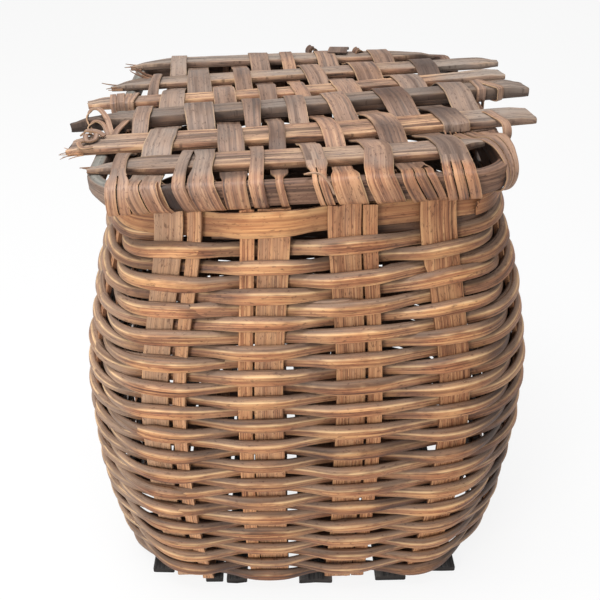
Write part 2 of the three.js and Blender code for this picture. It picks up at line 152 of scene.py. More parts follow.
def curve_through(rows, at):
    """Points of a smooth curve through rows, at places counted in rows."""
    rows = np.asarray(rows, float)
    low = np.clip(np.floor(at).astype(int), 0, len(rows) - 2)
    part = (at - low).reshape(-1, *[1] * (rows.ndim - 1))
    around = (rows[np.clip(low + step, 0, len(rows) - 1)] for step in (-1, 0, 1, 2))
    return spline(*around, part)


def wander(rng, along, spacing, size):
    """A smooth random drift of about this size, with a turn every spacing along."""
    count = int((along[-1] - along[0]) / spacing) + 4
    return curve_through(rng.normal(0, size, count), (along - along[0]) / spacing + 1)


def uneven(rng, along, spacing, size, low, high):
    """A factor near 1 that wanders along a strip between two limits."""
    return 1 + np.clip(wander(rng, along, spacing, size), low, high)


def lengths_along(points):
    steps = np.linalg.norm(np.diff(points, axis=0), axis=1)
    return np.concatenate([[0.0], np.cumsum(steps)])


def facing(direction, count):
    return np.tile(np.array(direction, float), (count, 1))


# The wall: rings of places round the basket at several heights, counted from the left front
LEVELS = 30
STATIONS = 4 * (PER_SIDE + 1)
CORNER_SHARE = 0.853


def wall_half(share):
    swell = BELLY_HALF - (BELLY_HALF - FOOT_HALF) * np.abs(1 - share / BELLY_SHARE) ** FOOT_POWER
    rise = np.clip((share - BELLY_SHARE) / (1 - BELLY_SHARE), 0.0, 1.0)
    neck = BELLY_HALF - (BELLY_HALF - NECK_HALF) * ease(rise**NECK_POWER)
    return np.where(share < BELLY_SHARE, swell, neck)


def side_point(side, along, out):
    turn = side * math.pi / 2
    return np.stack([
        along * np.cos(turn) + out * np.sin(turn),
        along * np.sin(turn) - out * np.cos(turn),
    ], axis=-1)


def side_axes(side):
    """The directions along one side of the wall, from left to right, and out of it."""
    return np.append(side_point(side, 1.0, 0.0), 0.0), np.append(side_point(side, 0.0, 1.0), 0.0)


def ring_places(share):
    """The uprights' middles and the corners between them, round the wall at one height."""
    half = wall_half(share)
    power = mix(FOOT_SQUARENESS, NECK_SQUARENESS, share)
    depths = [(1 - abs(place) ** power) ** (1 / power) for place in PLACES]
    shares = [*zip(PLACES, depths), (CORNER_SHARE, CORNER_SHARE)]
    return np.array([
        side_point(side, along * half, out * half) for side in range(4) for along, out in shares])


rings = np.array([ring_places(level / LEVELS) for level in range(LEVELS + 1)])


def station_of(position):
    """The station round the ring of a position counted in uprights."""
    whole = np.floor(position).astype(int)
    part = position - whole
    corner = whole % PER_SIDE == PER_SIDE - 1
    return whole + np.floor_divide(whole, PER_SIDE) + np.where(corner, part * 2, part)


def wall_at(position, height):
    """Middle of the wall at positions counted in uprights, at heights."""
    station = station_of(position)
    low = np.floor(station).astype(int)
    level = np.clip((height - ROWS_BOTTOM) / WALL_HEIGHT, 0, 1) * LEVELS
    floor = np.minimum(level.astype(int), LEVELS - 1)
    rise = (level - floor)[:, None]
    stations = [(low + step) % STATIONS for step in (-1, 0, 1, 2)]
    around = (mix(rings[floor, at], rings[floor + 1, at], rise) for at in stations)
    return np.column_stack([spline(*around, (station - low)[:, None]), height])


def settle(points):
    """The old basket's set: a slight turn of the foot and a lean of the top."""
    rise = np.minimum(1, points[:, 2] / BAND_BOTTOM)
    turn = -math.radians(FOOT_TURN) * (1 - rise)
    x = points[:, 0] * np.cos(turn) - points[:, 1] * np.sin(turn)
    y = points[:, 0] * np.sin(turn) + points[:, 1] * np.cos(turn)
    return np.column_stack([x, y, points[:, 2] + x * math.tan(LEAN) * rise])


def lid_to_frame(points):
    across = np.array([math.cos(LEAN), 0, math.sin(LEAN)])
    up = np.array([-math.sin(LEAN), 0, math.cos(LEAN)])
    return LID_ORIGIN + points[:, :1] * across + points[:, 1:2] * BACKWARD + points[:, 2:] * up


TO_FRAME = {"basket": settle, "lid": lid_to_frame}


# Sections of strips. Each point: across and through as shares of half the width and thickness,
# then how pale the wood is there, as worn cut edges and painted highlight, how weathered it is,
# and its tone, which paints shade on the sides, lower edges and back and light on crests
# The back of every section is dark: painted shade
BACK = ((0.9, -1, 0, 0.3, 0.3), (0, -1, 0, 0.3, 0.3), (-0.9, -1, 0, 0.3, 0.3))
# A weaver's crest is pale and light, a painted highlight, and its lower edge darker, painted shade
WEAVER_SECTION = (
    (-1, -0.6, 0, 0.6, 0.5), (-1, 0.45, 0, 0.5, 0.8), (-0.93, 0.82, 0.1, 0.1, 1), (-0.6, 1.02, 0, 0, 1),
    (-0.2, 1.12, 0, 0, 1.04), (0.12, 1.12, 0.1, 0, 1.08), (0.26, 1.04, 0.9, 0, 1.1), (0.38, 0.9, 0.5, 0.5, 1),
    (0.55, 0.66, 0, 0.9, 0.92), (0.8, 0.3, 0, 1, 0.88), (0.97, -0.05, 0, 1, 0.8), (1, -0.6, 0, 1, 0.55),
    *BACK,
)
THIN_SECTION = (
    (-1, -0.8, 0.1, 0.1, 0.6), (-1, 0.7, 0.7, 0, 0.95), (-0.97, 1, 0.3, 0, 1), (-0.9, 1.05, 0, 0.1, 1),
    (-0.4, 1.1, 0, 0.2, 1), (0, 1.12, 0, 0.2, 1), (0.4, 1.1, 0, 0.2, 1), (0.9, 1.05, 0, 0.1, 1),
    (0.97, 1, 0.3, 0, 1), (1, 0.7, 0.7, 0, 0.95), (1, -0.8, 0.1, 0.1, 0.6), *BACK,
)
LATH_SECTION = (
    (-1, -0.8, 0, 0.1, 0.6), (-1.02, 0, 0, 0.1, 0.72), (-1, 0.75, 0.1, 0.2, 0.8),
    (-0.95, 0.97, 0.4, 0.5, 0.95), (-0.7, 1.02, 0, 0.7, 1), (-0.3, 1.05, 0, 0.8, 1), (0.2, 1.02, 0, 0.8, 1),
    (0.6, 1.04, 0, 0.7, 1), (0.95, 0.96, 0.2, 0.6, 1), (1, 0.7, 0, 0.3, 0.8), (1, -0.8, 0, 0.2, 0.6), *BACK,
)
LEVEL_SECTION = (
    (-1, -0.7, 0, 0.4, 0.8), (-1, 0.7, 0, 0.3, 0.9), (-0.93, 0.97, 0.4, 0.1, 1), (-0.4, 1.04, 0, 0, 1),
    (0.4, 1.04, 0, 0, 1), (0.93, 0.97, 0.7, 0.1, 1), (1, 0.7, 0.1, 0.8, 0.9), (1, -0.7, 0, 1, 0.8),
    (0.93, -1, 0, 0.3, 0.3), (0, -1, 0, 0.3, 0.3), (-0.93, -1, 0, 0.3, 0.3),
)

# A strip's ends are capped. Torn ones have teeth, cut deeper than they stand out
CAP_REACH = 0.25
CAP_INSET_SHARE = 0.04
CAP_TONE = 0.55
TEETH = 7
TOOTH_SHARE = 0.4

# Grain starts somewhere in a large block of wood, and a strip's back has other grain than its face
GRAIN_LENGTH = 3000
GRAIN_DEPTH = 100
BACK_SHIFT = 40.0
ROUGH_SPACING = 22.0
CREASE = 38


def grooved(rng, count):
    """The section of a split upright, with fine grooves down its face and sides darker as painted shade."""
    face = [
        (across, 1.0 + rng.uniform(-0.12, 0.1), 0.0, rng.uniform(0, 0.5), rng.uniform(0.86, 1.06))
        for across in np.linspace(-0.88, 0.88, count)]
    return (
        (-1, -0.8, 0, 0.2, 0.5), (-1, 0.75, 0, 0.1, 0.62), (-0.96, 0.95, 0.4, 0, 0.9), *face,
        (0.96, 0.95, 0.4, 0, 0.9), (1, 0.75, 0, 0.1, 0.55), (1, -0.8, 0, 0.2, 0.45), *BACK)


class Piece:
    """Gathers strips into one mesh, with what the wood's nodes read at each point."""

    def __init__(self, name):
        self.name = name
        self.points, self.faces = [], []
        self.strand, self.wear_and_shade = [], []
        self.rng = np.random.default_rng(sum(ord(letter) * (place + 1) for place, letter in enumerate(name)))

    def strip(
            self, centres, across, through, width, thickness, section=THIN_SECTION, tone=0.5, rough=0.0,
            ragged=(0.0, 0.0), weather=0.0, cap=CAP_TONE):
        """A solid strip along centres. across and through point to its edge and its face."""
        rows, table = len(centres), np.array(section, float)
        size = len(table)
        a, t = table[:, 0], table[:, 1]
        width, thickness = (np.broadcast_to(value, rows)[:, None, None] for value in (width, thickness))
        along = lengths_along(centres)
        points = (
            centres[:, None]
            + across[:, None] * a[None, :, None] * width / 2
            + through[:, None] * t[None, :, None] * thickness / 2
        )
        if rough:
            spacing = min(ROUGH_SPACING, max(along[-1] / 3, 1.0))
            lifted = np.stack([wander(self.rng, along, spacing, rough) for _ in range(size)], axis=1)
            points += through[:, None] * lifted[:, :, None]
        ahead = unit(np.gradient(centres, axis=0))
        caps = []
        for end, sign, depth in zip((0, -1), (-1, 1), ragged):
            if depth:
                teeth = self.rng.uniform(-depth, depth * TOOTH_SHARE, TEETH)
                points[end] += ahead[end] * sign * np.interp(a, np.linspace(-1, 1, TEETH), teeth)[:, None]
            inset = mix(points[end], points[end].mean(axis=0), CAP_INSET_SHARE)
            caps.append(inset + ahead[end] * sign * CAP_REACH)
        points = np.concatenate([caps[0][None], points, caps[1][None]])
        rows += 2
        along, reach, tones, worn = (
            np.pad(np.broadcast_to(value, rows - 2), 1, mode="edge")
            for value in (along, width[:, 0, 0], tone, weather))
        tones[[0, -1]] *= cap
        strand = np.stack([
            np.repeat((along + self.rng.uniform(0, GRAIN_LENGTH))[:, None], size, axis=1),
            a[None, :] * reach[:, None] / 2 + np.where(t < 0, BACK_SHIFT, 0.0)[None, :],
            np.full((rows, size), self.rng.uniform(0, GRAIN_DEPTH)),
        ], axis=-1)
        wear_and_shade = np.stack([
            np.tile(table[:, 2], (rows, 1)),
            np.clip(table[None, :, 3] + worn[:, None], 0, 1),
            tones[:, None] * table[None, :, 4],
        ], axis=-1)
        first = len(self.points)
        self.points.extend(points.reshape(-1, 3))
        self.strand.extend(strand.reshape(-1, 3))
        self.wear_and_shade.extend(wear_and_shade.reshape(-1, 3))
        self.skin(first, rows, size)
        last = first + (rows - 1) * size
        self.faces.append(tuple(first + j for j in range(size)))
        self.faces.append(tuple(last + j for j in reversed(range(size))))

    def skin(self, first, rows, size, closed=False):
        """Faces between the rows of points, and back to the first row where they close."""
        for i in range(rows if closed else rows - 1):
            here, there = first + i * size, first + (i + 1) % rows * size
            for j in range(size):
                k = (j + 1) % size
                self.faces.append((here + j, there + j, there + k, here + k))

    def place(self, body, slot, *nodes):
        """The mesh in the frame, on its body, in place of these nodes."""
        points = TO_FRAME[body](np.array(self.points)) * MM
        name = self.name + "_wood"
        mesh = bpy.data.meshes.new(name)
        mesh.from_pydata(points.tolist(), [], self.faces)
        shell = bmesh.new()
        shell.from_mesh(mesh)
        bmesh.ops.recalc_face_normals(shell, faces=shell.faces)
        shell.to_mesh(mesh)
        shell.free()
        for label, values in (("strand", np.array(self.strand) * MM), ("wear_and_shade", np.array(self.wear_and_shade))):
            layer = mesh.attributes.new(label, "FLOAT_VECTOR", "POINT")
            layer.data.foreach_set("vector", values.astype(np.float32).ravel())
        mesh.polygons.foreach_set("use_smooth", [True] * len(mesh.polygons))
        mesh.set_sharp_from_angle(angle=math.radians(CREASE))
        mesh.materials.append(WOODS[slot])
        made = bpy.data.objects.new(name, mesh)
        bpy.context.scene.collection.objects.link(made)
        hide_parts(*nodes)
        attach(made, body)


# Materials: split wood with grain along each strand, shaded by the tone at each point, which holds
# the wood's own tone and painted shade and light
SHADES = (
    (0.0, [0.03, 0.025, 0.025, 1]), (0.25, [0.3, 0.26, 0.25, 1]), (0.5, [0.78, 0.76, 0.75, 1]), (0.9, 1.0))


def node(tree, kind, **values):
    made = tree.nodes.new(kind)
    for name, value in values.items():
        if hasattr(made, name):
            setattr(made, name, value)
        else:
            made.inputs[name.replace("_", " ")].default_value = value
    return made


def colour(red, green, blue):
    """An sRGB colour of 0 to 255 as the linear one that nodes take."""
    srgb = [value / 255 for value in (red, green, blue)]
    return [value / 12.92 if value < 0.04045 else ((value + 0.055) / 1.055) ** 2.4 for value in srgb] + [1.0]


def split_wood(name, colours, grain=900.0, relief=0.6, rough=0.6, lines=0.5):
    dark, middle, light, edge, grey = (colour(*value) for value in colours)
    material = bpy.data.materials.new(name)
    material.use_nodes = True
    tree = material.node_tree
    link = tree.links.new
    surface = tree.nodes["Principled BSDF"]
    surface.inputs["Specular IOR Level"].default_value = 0.4
    strand = node(tree, "ShaderNodeAttribute", attribute_name="strand")
    wear_and_shade = node(tree, "ShaderNodeAttribute", attribute_name="wear_and_shade")
    worn = node(tree, "ShaderNodeSeparateXYZ")
    link(wear_and_shade.outputs["Vector"], worn.inputs[0])
    pale, weathered, tone = worn.outputs

    def noise(along, across, detail, roughness=0.6):
        mapping = node(tree, "ShaderNodeMapping")
        mapping.inputs["Scale"].default_value = (along, across, 1000.0)
        link(strand.outputs["Vector"], mapping.inputs["Vector"])
        made = node(tree, "ShaderNodeTexNoise", Scale=1.0, Detail=detail, Roughness=roughness)
        link(mapping.outputs["Vector"], made.inputs["Vector"])
        return made.outputs["Fac"]

    def ramp(fac, *stops):
        made = node(tree, "ShaderNodeValToRGB")
        points = made.color_ramp.elements
        while len(points) < len(stops):
            points.new(0.5)
        for point, (place, value) in zip(points, stops):
            point.position = place
            point.color = value if isinstance(value, list) else [value, value, value, 1]
        link(fac, made.inputs["Fac"])
        return made.outputs["Color"]

    def blended(fac, first, second, kind="MIX"):
        made = node(tree, "ShaderNodeMix", data_type="RGBA", blend_type=kind)
        for source, socket in ((fac, made.inputs[0]), (first, made.inputs[6]), (second, made.inputs[7])):
            if isinstance(source, (int, float, list)):
                socket.default_value = source
            else:
                link(source, socket)
        return made.outputs[2]

    def product(first, second):
        made = node(tree, "ShaderNodeMath", operation="MULTIPLY")
        link(first, made.inputs[0])
        link(second, made.inputs[1])
        return made.outputs[0]

    fine = noise(11.0, grain, 5.0, 0.7)
    broad = noise(6.0, grain * 0.28, 3.0)
    patch = noise(26.0, 55.0, 3.0)
    pores = noise(230.0, 620.0, 2.0)
    fibres = ramp(fine, (0.34, dark), (0.48, middle), (0.64, light))
    polished = blended(ramp(patch, (0.5, 0.0), (0.72, 0.6)), fibres, light)
    soiled = blended(ramp(patch, (0.26, 0.65), (0.46, 0.0)), polished, dark)
    ashen = blended(1.0, grey, ramp(fine, (0.32, 0.62), (0.66, 1.0)), "MULTIPLY")
    greyed = blended(product(weathered, ramp(patch, (0.3, 0.98), (0.7, 0.72))), soiled, ashen)
    streaked = blended(ramp(broad, (0.34, lines), (0.5, 0.0)), greyed, dark)
    speckled = blended(ramp(pores, (0.3, 0.6), (0.42, 0.0)), streaked, dark)
    # Pale edges and crests: worn cut edges and painted highlight
    edged = blended(product(pale, ramp(patch, (0.4, 0.1), (0.6, 0.9))), speckled, edge)
    # The tone multiplies the colour: the wood's own tone, with painted shade where it is low
    link(blended(1.0, edged, ramp(tone, *SHADES), "MULTIPLY"), surface.inputs["Base Color"])
    roughness = node(tree, "ShaderNodeMapRange", To_Min=rough - 0.15, To_Max=rough + 0.2)
    link(fine, roughness.inputs["Value"])
    link(roughness.outputs["Result"], surface.inputs["Roughness"])
    bump = node(tree, "ShaderNodeBump", Strength=relief, Distance=0.0008)
    link(fine, bump.inputs["Height"])
    link(bump.outputs["Normal"], surface.inputs["Normal"])
    return material


# Each wood's dark, middle and light fibres, pale edge for worn edges and painted highlight, and weathered
# grey
WOOD_COLOURS = {
    "weaver": ((74, 42, 28), (166, 106, 70), (222, 168, 114), (244, 206, 156), (158, 132, 112)),
    "upright": ((78, 42, 26), (190, 128, 88), (232, 178, 128), (240, 194, 138), (208, 168, 136)),
    "band": ((110, 62, 36), (188, 122, 76), (226, 168, 112), (240, 196, 140), (166, 130, 104)),
    "runner": ((32, 31, 32), (72, 71, 72), (106, 103, 102), (124, 119, 116), (98, 96, 96)),
    "hoop": ((58, 40, 32), (146, 104, 80), (192, 150, 120), (206, 172, 134), (148, 146, 138)),
    "lath": ((60, 42, 34), (170, 122, 94), (228, 186, 142), (222, 184, 146), (172, 158, 146)),
    "splint": ((70, 42, 30), (166, 110, 76), (214, 162, 118), (244, 210, 160), (174, 156, 142)),
}
WOOD_GRAIN = {
    "weaver": dict(grain=620.0, rough=0.5),
    "upright": dict(grain=1300.0, relief=1.0, lines=0.25),
    "band": dict(grain=560.0, lines=0.4),
    "runner": dict(rough=0.8),
    "hoop": dict(grain=480.0),
    "lath": dict(grain=560.0, relief=1.0, rough=0.68, lines=0.75),
    "splint": dict(grain=520.0, rough=0.46, lines=0.55),
}
WOODS = {slot: split_wood(f"{slot}_wood", WOOD_COLOURS[slot], **WOOD_GRAIN[slot]) for slot in WOOD_COLOURS}
WOODS["tie"] = WOODS["splint"]


# The wall's strips. Where an upright pushes a strip out, it stands proud over some length, leans,
# and is thicker and lighter, a painted highlight. Elsewhere it is weathered and darker, painted shade
# with grime
PROUD = 2.2
PUSH_LENGTH = 38.0
PUSHED_LEAN = 0.1
THICKER_SHARE = 0.22
PUSHED_PAINTED_LIGHT = 0.26
DIPPED_PAINTED_SHADE = -0.11
HIDDEN_WEATHER = 0.5
HIDDEN_LEVEL = 0.55

# Rows sit closer at the back, the wall's left side is weathered, has painted light and its upper
# part open, and its right side is darker, painted shade. Each such place: where it starts and how far
# it takes
SNUG_SHARE = 0.08
SNUG_PLACE = (-60.0, 120.0)
LEFT_PAINTED_LIGHT = 0.28
LEFT_WEATHER = 0.85
LEFT_PLACE = (128.0, 30.0)
OPENING_SHARE = 0.17
OPEN_PLACE = (120.0, 100.0)
RIGHT_PAINTED_SHADE = -0.09
RIGHT_PLACE = (110.0, 50.0)

# How strips run between uprights, and how much of them is left at a tapered end
LANE_SHARE = 0.8
REACH_SHARE = 0.62
STRAIGHT_SHARE = 0.35
NARROWING_SHARE = 0.07
TAPER_HEIGHT_SHARE = 0.62
TAPER_THICKNESS_SHARE = 0.5
SAMPLES = 24

# How strips wander: a turn every so many millimetres, its size, and for uneven sizes its limits
DRIFT_SPACING = 75.0
TILT_SPACING = 80.0
TONE_WANDER = (130.0, 0.06)
HEIGHT_UNEVEN = (110.0, 0.045, -0.1, 0.08)
THICKNESS_UNEVEN = (100.0, 0.07, -0.2, 0.12)

# The slit between an upright's two legs: the usual one, and those that differ
SLIT = 2.0
SLITS = {0: 3.6, 1: 0.7, 2: 1.6, 5: 2.6, 6: 1.2, 8: 1.4, 10: 3.0, 13: 1.0}


def lane_widths(unit_index):
    """Offset and width of each leg of an upright, along its side from left to right."""
    slit = SLITS.get(unit_index % UNITS, SLIT)
    half = UPRIGHT_WIDTH / 2
    wide = UPRIGHT_WIDTH - slit - NARROW_WIDTH
    wide_first = [(wide / 2 - half, wide), (half - NARROW_WIDTH / 2, NARROW_WIDTH)]
    narrow_first = [(-offset, width) for offset, width in reversed(wide_first)]
    single = [(0.0, SINGLE_WIDTH)]
    side, place = divmod(unit_index % UNITS, PER_SIDE)
    front = [wide_first, narrow_first, wide_first, single]
    right = [narrow_first, wide_first, narrow_first, wide_first]
    table = (front, right)[side % 2]
    if side < 2:
        return table[place]
    return [(-offset, width) for offset, width in reversed(table[PER_SIDE - 1 - place])]


def half_width(unit_index):
    offset, width = lane_widths(unit_index)[-1]
    return offset + width / 2


def woven(along, rough, travelled, sign_at):
    """How far out a strip runs, from -1 inside to 1 outside, and how far it is pushed out."""
    start, end = rough[0], rough[-1]
    passed = np.arange(math.ceil(start) - 1, math.floor(end) + 2)
    beyond = travelled[-1] / (end - start)
    middles = np.interp(passed, rough, travelled)
    middles = np.where(passed < start, (passed - start) * beyond, middles)
    middles = np.where(passed > end, travelled[-1] + (passed - end) * beyond, middles)
    lanes = np.array([half_width(unit_index) for unit_index in passed]) * LANE_SHARE
    knots = np.column_stack([middles - lanes, middles + lanes]).ravel()
    signs = np.array([sign_at(unit_index) for unit_index in passed])
    sides = np.repeat(signs, 2)
    after = np.clip(np.searchsorted(knots, along), 1, len(knots) - 1)
    share = (along - knots[after - 1]) / (knots[after] - knots[after - 1])
    sway = mix(sides[after - 1], sides[after], mix(ease(share), share, STRAIGHT_SHARE))
    nearest = np.argmin(np.abs(along[:, None] - middles[None, :]), axis=1)
    over = (signs[nearest] > 0) * (1 - ease(np.abs(along - middles[nearest]) / PUSH_LENGTH))
    return sway, over


def wall_strip(
        piece, start, end, height_at, sign_at, height, thickness, tone, drift=0.7, offset=0.0, taper=0.0,
        tilt=0.12, section=WEAVER_SECTION, swell=0.14, ragged=0.0, weather=0.0):
    """A strip round the wall between two positions, outside or inside each upright it passes."""
    rng = piece.rng
    rough = np.linspace(start, end, int((end - start) * SAMPLES) + 2)
    travelled = lengths_along(wall_at(rough, height_at(rough)))
    along = np.linspace(0, travelled[-1], max(int(travelled[-1] / STEP), 4) + 1)
    position = np.interp(along, travelled, rough)
    sway, over = woven(along, rough, travelled, sign_at)
    z = height_at(position) + wander(rng, along, DRIFT_SPACING, drift)
    middle = wall_at(position, z)
    up = unit(wall_at(position, z + height / 2) - wall_at(position, z - height / 2))
    out = unit(np.cross(unit(np.gradient(middle, axis=0)), up))
    lean = (wander(rng, along, TILT_SPACING, tilt) + PUSHED_LEAN * over)[:, None]
    up, out = unit(up - out * lean), unit(out + up * lean)
    reach = UPRIGHT_THICKNESS * REACH_SHARE + thickness / 2
    centres = middle + out * (sway * reach + over * PROUD + offset)[:, None]
    snug = past(middle[:, 1], *SNUG_PLACE)
    narrowing = (1 - np.abs(sway)) * NARROWING_SHARE * (1 - snug)
    swelling = over * swell + snug * SNUG_SHARE - narrowing
    heights = height * (swelling + uneven(rng, along, *HEIGHT_UNEVEN))
    thick = thickness * (over * THICKER_SHARE + uneven(rng, along, *THICKNESS_UNEVEN))
    leftward, rightward = past(-middle[:, 0], *LEFT_PLACE), past(middle[:, 0], *RIGHT_PLACE)
    if height < BAND_HEIGHT:
        heights = heights * (1 - OPENING_SHARE * leftward * past(z, *OPEN_PLACE))
    if taper:
        full = ease(np.minimum(along, along[-1] - along) / taper)
        heights = heights * mix(TAPER_HEIGHT_SHARE, 1.0, full)
        thick = thick * mix(TAPER_THICKNESS_SHARE, 1.0, full)
    # Painted light where the strip stands out and painted shade where it dips behind an upright
    tones = tone + wander(rng, along, *TONE_WANDER) + PUSHED_PAINTED_LIGHT * over + DIPPED_PAINTED_SHADE + RIGHT_PAINTED_SHADE * rightward
    hidden = HIDDEN_WEATHER * (HIDDEN_LEVEL - over)
    # Painted light on the wall's left side and painted shade on its right side go into the tone
    piece.strip(
        centres, up, out, heights, thick, section, tone=tones + LEFT_PAINTED_LIGHT * leftward, rough=0.06,
        ragged=(ragged, ragged), weather=weather + LEFT_WEATHER * leftward + hidden)


def hump(position, middle, width):
    """A smooth rise to 1 at the middle that fades over a width."""
    return np.exp(-((position - middle) / width) ** 2)


def level_at(height):
    return lambda position: np.full(len(position), height)


def outside(position):
    return 1.0


def inside(position):
    return -1.0


# Weavers: 32 rows wound in a slow spiral, each node two turns made of spliced lengths. The top row
# stands higher at the front, and the upper rows do at the right front corner
def row_edge(row):
    return ROWS_BOTTOM + ROWS_HEIGHT * row / (ROWS + 1)


PITCH = row_edge(1) - row_edge(0)
SPLICE = 0.9
PLAIN_END = 0.35
SPLICE_ROOM = 6
TURN_END = 0.55
BELLY_RAISE = 3.2
BELLY_TOP = 340.0
ROWS_RAISE = 0.9
FRONT_RAISE = 3.0
FRONT_HUMP = (2.0, 1.7)
CORNER_RAISE = 2.6
CORNER_MIDDLE = 3.4
CORNER_WIDTH = 1.5
CORNER_PLACE = (270.0, 80.0)
DARK_ROWS = 5
DARKER = -0.1

# Limits between which each spliced length of a weaver varies, and how far it is pushed out
LENGTH_HEIGHT_SHARES = (0.96, 1.06)
LENGTH_THICKNESS_SHARES = (1.25, 1.45)
LENGTH_TONES = (-0.12, 0.14)
LENGTH_OFFSETS = (-0.3, 0.9)
WEAVER_TAPER = 14.0
WEAVER_TONE = 0.55

# Short lengths inside the top row: where each starts and ends, its height and its middle
TOP_THICKNESS = 2.0
TOP_OFFSET = -2.6
TOP_TONE = 0.42
TOP_LENGTHS = ((16.4, 17.3, 5.0, 366.0), (18.2, 19.7, 6.5, 367.5))


def row_middle(position):
    """Height of the strip's middle. The old rows sit a little high where the belly is widest."""
    height = row_edge((position + 0.5) / UNITS) + PITCH / 2
    swollen = BELLY_RAISE * np.sin(math.pi * np.clip(height / BELLY_TOP, 0, 1)) + ROWS_RAISE
    front = FRONT_RAISE * hump(position - (ROWS - 1) * UNITS, *FRONT_HUMP)
    round_corner = (position - CORNER_MIDDLE + UNITS / 2) % UNITS - UNITS / 2
    corner = CORNER_RAISE * hump(round_corner, 0, CORNER_WIDTH) * past(height, *CORNER_PLACE)
    return height + swollen + np.maximum(front, corner)


def row_sign(position):
    """Inside or outside. The even number of uprights costs a beat a turn, at the back left corner."""
    beat = math.floor((position + PER_SIDE) / UNITS)
    return -1.0 if (position % UNITS + beat) % 2 == 0 else 1.0


def weaver(index):
    piece = Piece(f"weaver_{index + 1:02d}")
    rng = piece.rng
    first = 2 * UNITS * index
    last = first + 2 * UNITS - 1
    splices = np.sort(rng.uniform(first + SPLICE_ROOM, last - SPLICE_ROOM, 2))
    splices[1] = max(splices[1], splices[0] + SPLICE_ROOM)
    bounds = [first - TURN_END, *splices, last + TURN_END]
    darkening = mix(DARKER, 0.0, min(index / DARK_ROWS, 1.0))
    for order, (start, end) in enumerate(zip(bounds, bounds[1:])):
        before = SPLICE if order else PLAIN_END
        after = SPLICE if order < len(bounds) - 2 else PLAIN_END
        wall_strip(
            piece, start - before, end + after, row_middle, row_sign,
            PITCH * rng.uniform(*LENGTH_HEIGHT_SHARES),
            STRIP_THICKNESS * rng.uniform(*LENGTH_THICKNESS_SHARES),
            tone=WEAVER_TONE + darkening + rng.uniform(*LENGTH_TONES), offset=LENGTH_OFFSETS[order % 2],
            taper=WEAVER_TAPER, ragged=1.6)
    if index == ROWS // 2 - 1:
        for start, end, height, middle in TOP_LENGTHS:
            wall_strip(
                piece, first + start, first + end, level_at(middle), inside, height, TOP_THICKNESS,
                tone=TOP_TONE, offset=TOP_OFFSET, section=THIN_SECTION, swell=0.0, ragged=1.5, weather=0.3)
    piece.place("basket", "weaver", piece.name)


for index in range(ROWS // 2):
    weaver(index)

# The rim band, behind some uprights and outside the rest. Its ends meet at the right corner, and
# one is split into layers: the lower and upper edge of each as shares of the band's height
BEHIND = (0, 2, 3, 5, 7, 12, 14)
BAND_START = 3.62
BAND_END = 3.55
BAND_DROP = 0.5
BAND_HANG = 3.2
HANG_HUMP = (0.3, 1.1)
BAND_TONE = 0.62
BAND_THICKNESS_SHARE = 0.9
SPLIT_END = ((0.0, 0.34), (0.26, 0.55), (0.48, 0.8), (0.74, 1.05))

# The layers of the split end: where the first starts and ends, how far out it lies and its tone,
# each with how much more the next has
LAYER_START = (3.3, 0.02)
LAYER_END = (4.45, 0.12)
LAYER_OFFSET = (0.6, 0.5)
LAYER_TONE = (0.5, 0.06)
LAYER_THICKNESS_SHARE = 0.45


def band_middle(position):
    """The band's height: it hangs a little low towards the left front corner."""
    round_front = (position + 1.5) % UNITS - 1.5
    return np.full(len(position), BAND_MIDDLE - BAND_DROP) - BAND_HANG * hump(round_front, *HANG_HUMP)


def band_sign(position):
    return -1.0 if position % UNITS in BEHIND else 1.0


def rim_band():
    piece = Piece("rim_band")
    wall_strip(
        piece, BAND_START, BAND_END + UNITS, band_middle, band_sign, BAND_HEIGHT,
        STRIP_THICKNESS * BAND_THICKNESS_SHARE, tone=BAND_TONE, drift=0.4, tilt=0.03, section=LEVEL_SECTION,
        swell=0.0)
    for layer, (low, high) in enumerate(SPLIT_END):
        middle = BAND_BOTTOM + BAND_HEIGHT * (low + high) / 2
        start, end, offset = (at + more * layer for at, more in (LAYER_START, LAYER_END, LAYER_OFFSET))
        wall_strip(
            piece, start, end, level_at(middle), outside, BAND_HEIGHT * (high - low),
            STRIP_THICKNESS * LAYER_THICKNESS_SHARE, tone=LAYER_TONE[0] + LAYER_TONE[1] * (layer % 2),
            drift=0.4, offset=offset, tilt=0.1, section=THIN_SECTION, swell=0.0, ragged=1.5)
    piece.place("basket", "band", piece.name)


rim_band()

# Uprights: each rises from the base on two opposite sides. The right front one has a strip over
# its top
UPRIGHT_TONE = 0.6
# Front uprights darker from left to right: partly each one's own tone, partly painted light from the left and
# painted shade to the right
UPRIGHT_TONES = {0: 1.1, 1: 0.9, 2: 0.7, 3: 0.54}
UPRIGHT_WEATHER = {0: 0.7, 1: 0.1, 3: -0.7}
NARROW_WEATHER = 0.6
LEG_THICKNESS = 3.0
NARROW_THICKNESS = 4.2
LEG_OUT_SHARE = 0.3
LEG_GROOVES = 11
NARROW_GROOVES = 5
RISEN_PLACE = (20.0, 30.0)
LEG_UNEVEN = (60.0, 0.035, -0.12, 0.05)
LEG_SWAY = (110.0, 0.5)
LEG_TONES = (90.0, 0.05)
BASE_POINTS = 36
BASE_REACH = 8
PATCH_THICKNESS = 1.4
PATCH_GROOVES = 9
PATCH_OFFSET = -4.5
PATCH_TIP = 9.0
PATCH_PLACE = (322.0, 22.0)


